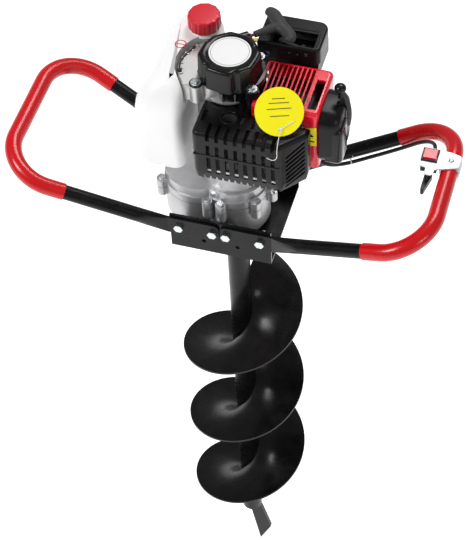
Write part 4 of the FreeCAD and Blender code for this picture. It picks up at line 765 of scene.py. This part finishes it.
def spline_length(points):
    """Length of the second-degree B-spline through a cord's points, by sampling."""
    degree, count = 2, len(points)
    knots = [0] * degree + list(range(count - degree + 1)) + [count - degree] * degree
    total, last = 0.0, None
    for step in range(2001):
        u = min(step / 2000 * (count - degree), count - degree - 1e-9)
        span = int(u) + degree
        work = [Vector(points[span - degree + k]) for k in range(degree + 1)]
        for r in range(1, degree + 1):
            for k in range(degree, r - 1, -1):
                i = span - degree + k
                t = (u - knots[i]) / (knots[i + degree - r + 1] - knots[i])
                work[k] = work[k - 1] * (1 - t) + work[k] * t
        if last is not None:
            total += (work[degree] - last).length
        last = work[degree]
    return total * MM


def make_cords():
    """Control cable and fuel hose, in place of their CAD nodes."""
    for name, node, points, slot in (("cable_sleeve", "control_cable", CABLE, "cable_black"),
                                     ("fuel_hose", "fuel_line", HOSE, "hose_yellow")):
        cord = make_curve(name, points, 3.0, slot)
        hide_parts(node)
        spline_length(points)


def make_tag():
    """Eyelet, plain bars and string of the round tag."""
    normal = Vector((0.207, -0.597, 0.775)).normalized()
    centre = Vector((88, -52, 1241))
    down = Vector((0, 0, -1))
    low = (down - normal * down.dot(normal)).normalized()
    eye = centre + low * 24 + normal * 0.7
    detail("tag_eyelet", "steel_zinc", hoop(eye, normal, 2.4, 0.5, 24, 8))
    bars = []
    side = normal.cross(low).normalized()
    for reach, half in ((-18, 9), (-12, 14), (-4, 17), (6, 13)):
        corner = [centre + low * (reach + rise) + side * (half * end_side)
                  for rise, end_side in ((-0.6, -1), (-0.6, 1), (0.6, 1), (0.6, -1))]
        bars.append(skin([[point + normal * 0.7 for point in corner], [point + normal * 1.0 for point in corner]]))
    detail("tag_bars", "mark_grey", *bars)
    points = [centre + side * 20 + low * 14 + normal * 2, centre + side * 10 + low * 19 + normal * 3, eye + normal * 2,
              Vector((97, -100, 1216)), Vector((98, -101, 1200)), Vector((90, -100, 1192)), Vector((82, -99, 1196))]
    string = make_curve("tag_string", points, 0.6, "string_white")
    spline_length(points)
    detail("tag_knot", "string_white", ball(eye + normal * 2, 2.0, 0.8))


def make_small_parts():
    """Tie on the cable, level plug of the gearbox, and the small fittings round the fan housing and carburettor."""
    detail("cable_tie", "string_white", hoop((159, 83, 1018), (0.9, 0.3, 0.25), 4.3, 0.9, 24, 8),
           tube([(159, 86, 1022), (160, 90, 1026), (162, 95, 1029)], 0.8, count=8))
    detail("level_plug", "steel_zinc", drum((62, -9, 1028), (68, -9.5, 1028), 6, count=6),
           drum((60, -9, 1028), (63, -9.2, 1028), 7.5), bevel=0.5)
    detail("volute_wire", "black_rubber", tube([(-60, 38, 1246.5), (-68, 20, 1246.5), (-71, 4, 1246.5),
                                                (-68, -12, 1246.5)], 1.1, count=8), ball((-67, -14, 1247), 3.4))
    ribs = []
    for k in range(7):
        angle = math.radians(140 + 11 * k)
        inner, outer = (Vector((FAN_CENTRE[0] + out * math.cos(angle), FAN_CENTRE[1] + out * math.sin(angle), 1245.5))
                        for out in (50, 57))
        ribs.append(drum(inner, outer, 1.4, count=10))
    detail("volute_ribs", "alu_silver", *ribs)
    detail("primer_ball", "mark_blue", ball((36, 68, 1230), 6))
    detail("return_hose", "hose_yellow", tube([(10, 84, 1232), (20, 83, 1234), (31, 74, 1232)], 3))
    detail("handle_spring", "red_cap", *[hoop((-20.07 + 0.743 * out, 22.29 + 0.669 * out, 1268), (0.743, 0.669, 0),
                                              3.4, 0.8, 20, 8) for out in (48.5, 50.2)])


def make_controls():
    """Switch plate and clamp on the right grip, with its screw, and the throttle paddle below it."""
    plate = [(270.5, 18, 2), (283, 16, 2), (284, 2, 4), (295, 2, 4), (297, 14, 3), (316, 20, 4), (330, 26, 5),
             (330, 48, 5), (316, 52, 4), (270.5, 56, 3)]
    under, over = 1108.5, 1110.9
    detail("switch_plate", "bracket_white", skin([ring_at(plate, 0, under), ring_at(plate, 0, over)]),
           drum((316.5, 25, 1096), (316.5, 47, 1096), 15.2, count=64), replaces=["switch_bracket"], bevel=0.6)
    detail("switch_plate_screw", "steel_zinc", ball((316.5, 36, 1111), 4, 0.5),
           drum((288.5, 10, 1088), (288.5, 10, 1111.6), 2.3))
    paddle = [(287.5, -19, 2), (283, -16, 3), (283, 16, 1), (294.3, 16, 1), (294.3, 12, 3)]
    detail("throttle_paddle", "black_plastic", skin([ring_at(paddle, 0, 1088), ring_at(paddle, 0, 1099)]),
           body="throttle", replaces=["throttle_lever"], bevel=1.0)


make_guard()
make_controls()
make_cup()
make_fan_housing()
make_pull()
make_tank()
make_cap()
make_filter()
make_shroud()
make_end()
make_cords()
make_tag()
make_small_parts()
